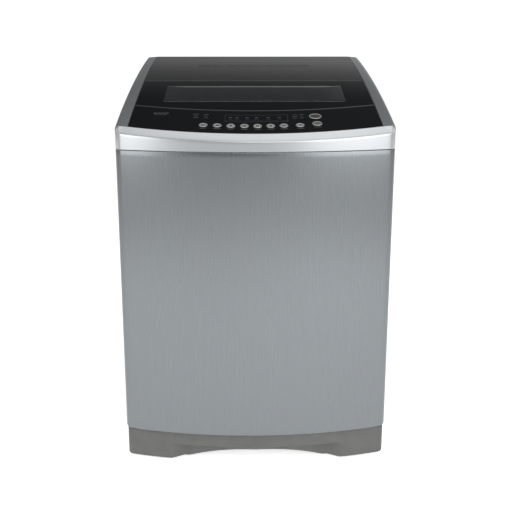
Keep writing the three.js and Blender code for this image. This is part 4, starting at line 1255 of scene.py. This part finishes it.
class WASHER_OT_base(bpy.types.Operator):
    """Build the base moulding and the four screw feet"""
    bl_idname = "washer.base"
    bl_label = "Build Base"

    def execute(self, context):
        settings = context.scene.washer_cabinet
        make_piece("base_moulding", [base_moulding(settings.lobe_edge, settings.recess), base_web()],
                   finish("base"), "cabinet", ("plinth",))
        for place in CORNER_PLACES:
            shape = screw_foot(*middle(f"levelling_foot_{place}"))
            make_piece(f"screw_foot_{place}", shape, finish("rubber"), f"foot_{place}",
                       (f"levelling_foot_{place}",))
        return {"FINISHED"}


class WASHER_OT_top_frame(bpy.types.Operator):
    """Build the silver top, the well under the lid and the collar round the opening"""
    bl_idname = "washer.top_frame"
    bl_label = "Build Top Frame"

    def execute(self, context):
        settings = context.scene.washer_top
        make_piece("top_shell", [top_shell(settings.fascia_drop, settings.fascia_run)], finish("silver"),
                   "cabinet", ("top_frame",))
        make_piece("lid_well", [lid_well(), *well_walls()], finish("silver"), "cabinet")
        drawer_half, drawer_top = 0.074, 0.846
        window = block(-drawer_half, drawer_half, 0.15, 0.26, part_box("dispenser_housing")[0].z, drawer_top)
        make_piece("opening_ring", [opening_collar()], finish("collar"), "cabinet",
                   ("opening_collar",), cutters=[window])
        make_piece("console_top", [crowned_slab(-PANEL_HALF, PANEL_HALF, straight(WELL_BACK + GAP),
                                                straight(BACK - 0.0043), 0.0, PANEL_THICK, 65, 13)],
                   finish("console"), "cabinet", ("rear_console",), bevel=0.0009)
        return {"FINISHED"}


class WASHER_OT_panel(bpy.types.Operator):
    """Build the control panel, its display and its printed marks"""
    bl_idname = "washer.panel"
    bl_label = "Build Panel"

    def execute(self, context):
        plate = crowned_slab(-PANEL_HALF, PANEL_HALF, lambda x: bow(x, PANEL_FRONT + GAP),
                             lambda x: bow(x, PANEL_BACK - GAP), 0.0, PANEL_THICK, 129, 33)
        holes = []
        for name in SMALL_BUTTONS + LARGE_BUTTONS:
            x, _, radius = button_place(name)
            profile = [[0, -0.008], [radius + 0.0004, -0.008], [radius + 0.0004, 0.008], [0, 0.008]]
            holes.append(square_to_crown(x, true_button_y(name), profile, 64))
        left, right = SHOWN_LOW.x, SHOWN_HIGH.x
        front, back = lambda x: bow(x, 0.070), lambda x: bow(x, 0.110)
        holes.append(crowned_slab(left - GAP, right + GAP, lambda x: front(x) - GAP, lambda x: back(x) + GAP,
                                  -0.005, 0.0013, 65, 9))
        make_piece("panel_plate", [plate], finish("gloss"), "cabinet", ("control_panel",),
                   bevel=0.0007, cutters=holes)
        make_piece("display_pane", [crowned_slab(left, right, front, back, 0.0, 0.001, 65, 9)],
                   finish("gloss"), "cabinet", ("display_window",), bevel=0.0002)
        self.print_marks()
        return {"FINISHED"}

    def print_marks(self):
        """Prints plain bars and rings in place of wording."""
        faint, ink = [], []
        left, right = SHOWN_LOW.x, SHOWN_HIGH.x
        for x in (left + 0.003, right - 0.003):
            faint.append(mark_bar(x, float(bow(x, 0.090)), 0.030, 0.0007, lean=math.pi / 2))
        for x in np.linspace(left + 0.006, right - 0.006, 13):
            faint.append(mark_bar(x, float(bow(x, 0.1055)), 0.0104, 0.0007))
            faint.append(mark_bar(x, float(bow(x, 0.0745)), 0.0104, 0.0007))
        for x in (-0.055, -0.040, -0.018, 0.002, 0.028, 0.052):
            ink.append(mark_bar(x, float(bow(x, 0.092)), 0.0075, 0.0022))
            faint.append(mark_bar(x, float(bow(x, 0.083)), 0.0095, 0.0010))
        for name in SMALL_BUTTONS + ["power_button"]:
            x, y, radius = button_place(name)
            ink.append(mark_bar(x, y - radius - 0.0058, 0.016, 0.0014))
            faint.append(mark_bar(x, y - radius - 0.0088, 0.010, 0.0009))
        for x, widths in ((-0.130, (0.014, 0.010, 0.012)), (-0.108, (0.012, 0.008, 0.010)),
                          (0.086, (0.010, 0.012, 0.008)), (0.101, (0.010, 0.006, 0.009))):
            for step, width in enumerate(widths):
                ink.append(mark_bar(x, float(bow(x, 0.104 - 0.009 * step)), width, 0.0014))
        plate_x = -0.2075
        for level, length, width in ((0.098, 0.034, 0.0030), (0.089, 0.028, 0.0012)):
            ink.append(mark_bar(plate_x, float(bow(plate_x, level)), length, width))
        make_piece("panel_marks", ink, finish("ink"), "cabinet")
        make_piece("panel_faint_marks", faint, finish("faint"), "cabinet")


class WASHER_OT_buttons(bpy.types.Operator):
    """Build the ten push buttons"""
    bl_idname = "washer.buttons"
    bl_label = "Build Buttons"

    def execute(self, context):
        for number, name in enumerate(SMALL_BUTTONS + LARGE_BUTTONS):
            x, _, radius = button_place(name)
            y = true_button_y(name)
            rim = 0.82 if name in LARGE_BUTTONS else 0.70
            profile = [[0, -0.002], [radius - 0.0003, -0.002], [radius, -0.0017], [radius, 0.0001],
                       [radius - 0.0002, 0.0004], [radius - 0.0007, 0.0006], [(rim + 0.06) * radius, 0.0006],
                       [rim * radius, 0.0003], [(rim - 0.02) * radius, 0.0001],
                       [(rim - 0.06) * radius, 0.0002], [0.4 * radius, 0.00042], [0, 0.0005]]
            piece = make_piece(f"{name}_face", [square_to_crown(x, y, profile)], finish("button"),
                               f"{name}_cap", (name,), sharp=1.2)
            centre = {"start_button": "olive", "power_button": "warm"}.get(name)
            if centre:
                self.colour_centre(piece, x, y, rim * radius, finish(centre))
            self.print_icon(name, number, x, y)
        return {"FINISHED"}

    def colour_centre(self, piece, x, y, radius, material):
        """Gives the faces inside the groove a second finish."""
        piece.data.materials.append(material)
        middles = np.empty(len(piece.data.polygons) * 3)
        piece.data.polygons.foreach_get("center", middles)
        middles = middles.reshape(-1, 3)
        away = np.hypot(middles[:, 0] - x, (middles[:, 1] - y) / math.cos(crown_angle(y)))
        inside = (away < radius) & (middles[:, 2] > crown(middles[:, 1]) - 0.001)
        piece.data.polygons.foreach_set("material_index", inside.astype(np.int32))

    def print_icon(self, name, number, x, y):
        """A plain sign on each button: a ring, a ring and a bar, or one to three straight bars."""
        lift, upright = 0.0007, math.pi / 2
        if name == "power_button":
            icon = [mark_ring(x, y, 0.0042, 0.0009, lift),
                    mark_bar(x, y + 0.0035, 0.0045, 0.0009, lift, upright)]
        elif name == "start_button":
            icon = [mark_bar(x + side, y, 0.0075, 0.0013, lift, upright) for side in (-0.002, 0.002)]
        elif number % 3 == 0:
            icon = [mark_ring(x, y, 0.0032, 0.0022, lift)]
        elif number % 3 == 1:
            icon = [mark_bar(x, y + shift, 0.0072, 0.0017, lift) for shift in (-0.0028, 0.0, 0.0028)]
        else:
            icon = [mark_bar(x, y, 0.0090, 0.0048, lift, upright)]
        ink = finish("olive" if name == "power_button" else "icon")
        make_piece(f"{name}_sign", icon, ink, f"{name}_cap")


class WASHER_OT_lid(bpy.types.Operator):
    """Build both halves of the folding lid with their window, slot and knuckles"""
    bl_idname = "washer.lid"
    bl_label = "Build Lid"

    def execute(self, context):
        edge = context.scene.washer_top.lid_edge
        front = lambda inset: half_bowed_plan(PANEL_HALF, LID_FRONT, FOLD_Y - FOLD_GAP, inset,
                                              max(0.0025 - inset, 0.0004))
        half = GLASS_HIGH.x + GAP
        glass_front, glass_back = GLASS_LOW.y - GAP, GLASS_HIGH.y + GAP
        window = lambda grow: square_plan(half, glass_front, glass_back, -grow, 0.006 + grow)
        back_edge = np.full(len(front_share()), edge)
        knuckles = [barrel(a, b, KNUCKLE, FOLD_Y, fold_z()) for a, b in ((-0.080, -0.0406), (0.0406, 0.080))]
        make_piece("lid_front_half", [lid_half(front, window, back_edge, LID_THICK - 0.004), *knuckles],
                   finish("gloss"), "lid_front", ("lid_front_frame",))
        pane = lambda inset: square_plan(half - GAP, glass_front + GAP, glass_back - GAP, inset,
                                         0.006 - inset)
        inmost = mixed(pane(0.0008), np.array([[0.0, (glass_front + glass_back) / 2]]), 0.98)
        lines = [below_crown(mixed(pane(0.001), inmost, share), 0.003) for share in (0.999, 0.66, 0.33, 0.0)]
        for inset, depth in ((0.0, 0.0028), (0.0, 0.0007), (0.0002, 0.0004), (0.0008, 0.0002)):
            lines.append(below_crown(pane(inset), depth))
        lines += [below_crown(mixed(pane(0.0008), inmost, share), 0.0002) for share in (0.33, 0.66, 0.999)]
        make_piece("lid_glass", [capped_shell(lines)], finish("glass"), "lid_front",
                   ("lid_window",))
        self.rear_half(edge)
        return {"FINISHED"}

    def rear_half(self, edge):
        """The half that is hinged to the frame: its rear edge is rounder, about the hinge."""
        outline = lambda inset: square_plan(PANEL_HALF, FOLD_Y + FOLD_GAP, LID_BACK, inset,
                                            max(0.0025 - inset, 0.0004))
        half = STRIP_HIGH.x + GAP
        slot = lambda grow: square_plan(half, STRIP_LOW.y - GAP, STRIP_HIGH.y + GAP, -grow, 0.0008 + grow)
        radii = mixed(edge, 0.0038, back_share())
        spare = 0.002
        floor = crowned_slab(-half - spare, half + spare, straight(STRIP_LOW.y - spare),
                             straight(STRIP_HIGH.y + spare), 0.0044, 0.0072, 33, 5)
        knuckle = barrel(-0.040, 0.040, KNUCKLE, FOLD_Y, fold_z())
        bosses = [barrel(a, b, 0.0038, HINGE_Y, hinge_z()) for a, b in ((-0.2708, -0.2572), (0.2572, 0.2708))]
        make_piece("lid_rear_half", [lid_half(outline, slot, radii, 0.0073), floor, knuckle, *bosses],
                   finish("charcoal"), "lid_rear", ("lid_rear_panel",))
        # Painted shade: the strip at the foot of the slot is a black insert made dead matte black, which also
        # stands in for the shade inside the slot.
        strip = crowned_slab(STRIP_LOW.x, STRIP_HIGH.x, straight(STRIP_LOW.y), straight(STRIP_HIGH.y),
                             0.002, 0.004, 49, 5)
        make_piece("slot_strip", [strip], finish("slot"), "lid_rear", ("lid_slot_insert",),
                   bevel=0.0003)


class WASHER_OT_drum(bpy.types.Operator):
    """Build the perforated drum and its balance ring"""
    bl_idname = "washer.drum"
    bl_label = "Build Drum"

    def execute(self, context):
        settings = context.scene.washer_drum
        low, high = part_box("basket")
        radius = high.x - 0.0001
        wall_low, wall_high = 0.243, 0.675
        wall_points, wall_faces, across = perforated_wall(radius, wall_low, wall_high, settings.hole_pitch,
                                                          settings.hole_radius)
        rest = drum_rest(radius, low.z, wall_low, wall_high, high.z, 2 * across)
        parts = [(wall_points, wall_faces), *rest]
        drum = make_piece("drum", parts, finish("drum"), "basket", ("basket",), sharp=1.2)
        wall = drum.modifiers.new("sheet", "SOLIDIFY")
        wall.thickness, wall.offset = 0.0012, -1.0
        settle(drum)
        drum.data.set_sharp_from_angle(angle=0.7)
        self.balance_ring(settings.ribs)
        return {"FINISHED"}

    def balance_ring(self, ribs):
        """The ring on the drum's rim: a turned profile whose inner face swells at even steps."""
        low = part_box("balance_ring")[0]
        profile = softened([[0.2225, low.z + 0.006], [0.230, low.z], [0.246, low.z], [0.246, low.z + 0.024],
                            [0.236, low.z + 0.031], [0.2225, low.z + 0.022]], 0.0030, 4)
        points, faces = turned(profile, segments=ribs * 6)
        angle = np.arctan2(points[:, 1] - TUB_Y, points[:, 0])
        radius = np.hypot(points[:, 0], points[:, 1] - TUB_Y)
        inner = 1 - ease(radius, 0.2225, 0.230)
        swell = radius + 0.0009 * inner * np.clip(np.cos(ribs * angle), 0, 1)
        points = np.column_stack([swell * np.cos(angle), TUB_Y + swell * np.sin(angle), points[:, 2]])
        make_piece("drum_rim", [(points, faces)], finish("white"), "basket",
                   ("balance_ring",))


class WASHER_OT_pulsator(bpy.types.Operator):
    """Build the pulsator and its cap"""
    bl_idname = "washer.pulsator"
    bl_label = "Build Pulsator"

    def execute(self, context):
        make_piece("pulsator_disc", [pulsator_disc()], finish("white"), "agitator",
                   ("pulsator",), sharp=0.9)
        profile = [[0, 0.2443], [0.0296, 0.2443], [0.030, 0.2448], [0.030, 0.2476], [0.029, 0.2488],
                   [0.022, 0.254], [0.0165, 0.2556], [0.0155, 0.2551], [0.0145, 0.2558], [0.006, 0.2576],
                   [0, 0.258]]
        make_piece("pulsator_button", [turned(profile, segments=64)], finish("drum"), "agitator",
                   ("pulsator_cap",), sharp=0.9)
        return {"FINISHED"}


class WASHER_OT_springs(bpy.types.Operator):
    """Build the four coil springs"""
    bl_idname = "washer.springs"
    bl_label = "Build Springs"

    def execute(self, context):
        for place in CORNER_PLACES:
            node = f"suspension_spring_{place}"
            x, y = middle(node)
            coil = make_piece(f"coil_spring_{place}", [spring_coil(x, y)], finish("bright"), "cabinet",
                              (node,))
            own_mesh(coil)
        return {"FINISHED"}


class WASHER_OT_carried_parts(bpy.types.Operator):
    """Give every shown part of the frame its finish"""
    bl_idname = "washer.carried_parts"
    bl_label = "Finish Carried Parts"

    BY_SLOT = {
        "steel_wrap": "steel", "silver_plastic": "silver", "panel_gloss": "gloss", "smoked_window": "glass",
        "charcoal_plastic": "collar", "base_plastic": "base", "button_face": "button", "zinc_steel": "bright",
        "cast_aluminium": "cast", "stainless": "drum", "white_plastic": "white", "black_rubber": "rubber",
        "circuit_board": "board", "tub_plastic": "tub",
    }

    def execute(self, context):
        slots = {part["node"]: part["material_slot"] for part in frame["record"]["subparts"]}
        softened_parts = {"detergent_drawer": 0.0012, "dispenser_housing": 0.0008, "lint_filter": 0.0015,
                          "motor_bracket": 0.0006}
        for name, node in frame["nodes"].items():
            chosen = "zinc" if name in ("motor", "motor_bracket") else self.BY_SLOT[slots[name]]
            node.data.materials.clear()
            node.data.materials.append(finish(chosen))
            if name in softened_parts:
                soften = node.modifiers.new("soft edges", "BEVEL")
                soften.width, soften.segments, soften.limit_method = softened_parts[name], 2, "ANGLE"
        return {"FINISHED"}


class WASHER_OT_stage(bpy.types.Operator):
    """Set up the floor, the soft lights and the camera"""
    bl_idname = "washer.stage"
    bl_label = "Set Stage"

    def execute(self, context):
        settings = context.scene.washer_stage
        self.floor(tuple(settings.floor_colour))
        self.surround(settings.surround)
        self.light("top_softbox", (0.0, -0.3, 2.9), (0.0, -0.1, 0.6), (3.0, 2.4), settings.top_light)
        shoulder = (0.0, -0.1, 0.75)
        side = settings.side_light
        self.light("left_softbox", (-1.40, -1.75, 1.20), shoulder, (0.7, 1.5), 1.1 * side)
        self.light("right_softbox", (1.15, -1.95, 1.20), shoulder, (1.2, 1.5), 1.6 * side)
        self.light("floor_softbox", (0.15, -1.9, 1.7), (0.15, -1.8999, 0.0), (1.0, 1.0), settings.floor_light)
        for way, name in ((-1, "left_strip"), (1, "right_strip")):
            self.light(name, (2.3 * way, -0.5, 1.55), (0.0, -0.1, 0.6), (0.6, 1.6), 0.7 * side)
        data = bpy.data.cameras.new("view")
        data.lens, data.sensor_width, data.shift_y = settings.lens, 36.0, -0.10
        camera = bpy.data.objects.new("view", data)
        camera.location = (-0.0226, -1.875, 0.966)
        camera.rotation_euler = (math.radians(77.1), 0.0, math.radians(-0.83))
        context.scene.collection.objects.link(camera)
        context.scene.camera = camera
        context.scene.view_settings.view_transform = "Standard"
        return {"FINISHED"}

    def floor(self, colour):
        """A wide level sheet, paler and darker by a hair from place to place."""
        x = np.linspace(-8, 8, 3)[None, :]
        y = np.linspace(-8, 8, 3)[:, None]
        points = np.stack([x + 0 * y, y + 0 * x, 0 * x * y - 0.0002], -1).reshape(-1, 3)
        mesh = bpy.data.meshes.new("floor")
        mesh.from_pydata(points.tolist(), [], grid_faces(3, 3, False, False).tolist())
        made = Finish("floor_paint", colour, 0.75)
        made.colour_from(made.noise(1.5, detail=3), tuple(0.97 * c for c in colour), colour)
        made.shader.inputs["Emission Color"].default_value = (1, 1, 1, 1)
        made.shader.inputs["Emission Strength"].default_value = 0.66
        mesh.materials.append(made.material)
        floor = bpy.data.objects.new("floor", mesh)
        bpy.context.scene.collection.objects.link(floor)

    def light(self, name, place, target, size, power):
        data = bpy.data.lights.new(name, "AREA")
        data.shape, data.size, data.size_y, data.energy = "RECTANGLE", size[0], size[1], power
        lamp = bpy.data.objects.new(name, data)
        lamp.location = place
        lamp.visible_camera = False
        lamp.rotation_euler = (Vector(target) - Vector(place)).to_track_quat("-Z", "Y").to_euler()
        bpy.context.scene.collection.objects.link(lamp)

    def surround(self, strength):
        """A pale room: white where it is seen directly, and graded by height where it lights the object."""
        world = bpy.data.worlds.new("room")
        world.use_nodes = True
        tree = world.node_tree
        tree.nodes.clear()
        new, link = tree.nodes.new, tree.links.new
        place = new("ShaderNodeTexCoord")
        split = new("ShaderNodeSeparateXYZ")
        link(place.outputs["Generated"], split.inputs["Vector"])
        height, behind, side = (new("ShaderNodeMapRange") for _ in range(3))
        for node, axis, low, high in ((height, "Z", -1.0, 1.0), (behind, "Y", -0.25, 0.25),
                                      (side, "X", -0.3, 0.3)):
            node.inputs["From Min"].default_value, node.inputs["From Max"].default_value = low, high
            link(split.outputs[axis], node.inputs["Value"])
        side.inputs["To Min"].default_value, side.inputs["To Max"].default_value = 0.6, 1.5
        front, back = new("ShaderNodeValToRGB"), new("ShaderNodeValToRGB")
        self.set_stops(front, ((0.0, 0.40), (0.5, 0.42), (0.65, 0.40), (0.8, 0.5), (1.0, 0.8)))
        self.set_stops(back, ((0.0, 0.4), (0.5, 0.42), (0.655, 0.36), (0.70, 0.22), (0.735, 0.10),
                              (0.78, 0.035), (0.885, 0.04), (1.0, 0.8)))
        link(height.outputs["Result"], front.inputs["Fac"])
        link(height.outputs["Result"], back.inputs["Fac"])
        room = new("ShaderNodeMix")
        room.data_type = "RGBA"
        link(behind.outputs["Result"], room.inputs["Factor"])
        link(front.outputs["Color"], room.inputs["A"])
        link(back.outputs["Color"], room.inputs["B"])
        power = new("ShaderNodeMath")
        power.operation = "MULTIPLY"
        power.inputs[1].default_value = strength
        link(side.outputs["Result"], power.inputs[0])
        lit = new("ShaderNodeBackground")
        link(power.outputs["Value"], lit.inputs["Strength"])
        link(room.outputs["Result"], lit.inputs["Color"])
        seen = new("ShaderNodeBackground")
        seen.inputs["Color"].default_value = (1, 1, 1, 1)
        seen.inputs["Strength"].default_value = 1.1
        ray = new("ShaderNodeLightPath")
        blend = new("ShaderNodeMixShader")
        link(ray.outputs["Is Camera Ray"], blend.inputs["Fac"])
        link(lit.outputs["Background"], blend.inputs[1])
        link(seen.outputs["Background"], blend.inputs[2])
        link(blend.outputs["Shader"], new("ShaderNodeOutputWorld").inputs["Surface"])
        bpy.context.scene.world = world

    def set_stops(self, node, stops):
        ramp = node.color_ramp
        while len(ramp.elements) < len(stops):
            ramp.elements.new(1.0)
        for element, (position, value) in zip(ramp.elements, stops):
            element.position = position
            element.color = (value, value, value, 1)


class WASHER_PT_panel(bpy.types.Panel):
    """Settings and steps of the washing machine"""
    bl_idname = "WASHER_PT_panel"
    bl_label = "Top Load Washer"
    bl_space_type = "VIEW_3D"
    bl_region_type = "UI"
    bl_category = "Washer"

    def draw(self, context):
        layout = self.layout
        for group in ("washer_cabinet", "washer_top", "washer_drum", "washer_stage"):
            box = layout.box()
            settings = getattr(context.scene, group)
            for name in settings.__class__.__annotations__:
                box.prop(settings, name)
        for step in STEPS:
            layout.operator(step.bl_idname)


SETTINGS = {
    "washer_cabinet": WasherCabinetSettings,
    "washer_top": WasherTopSettings,
    "washer_drum": WasherDrumSettings,
    "washer_stage": WasherStageSettings,
}
STEPS = [
    WASHER_OT_finishes, WASHER_OT_cabinet, WASHER_OT_back, WASHER_OT_base, WASHER_OT_top_frame,
    WASHER_OT_panel, WASHER_OT_buttons, WASHER_OT_lid, WASHER_OT_drum, WASHER_OT_pulsator, WASHER_OT_springs,
    WASHER_OT_carried_parts, WASHER_OT_stage,
]


def register():
    for group in [*SETTINGS.values(), *STEPS, WASHER_PT_panel]:
        bpy.utils.register_class(group)
    for name, group in SETTINGS.items():
        setattr(bpy.types.Scene, name, PointerProperty(type=group))


def unregister():
    for name in SETTINGS:
        delattr(bpy.types.Scene, name)
    for group in reversed([*SETTINGS.values(), *STEPS, WASHER_PT_panel]):
        bpy.utils.unregister_class(group)


def main():
    """Builds the whole machine."""
    register()
    for step in STEPS:
        area, name = step.bl_idname.split(".")
        getattr(getattr(bpy.ops, area), name)()


if __name__ == "__main__":
    main()
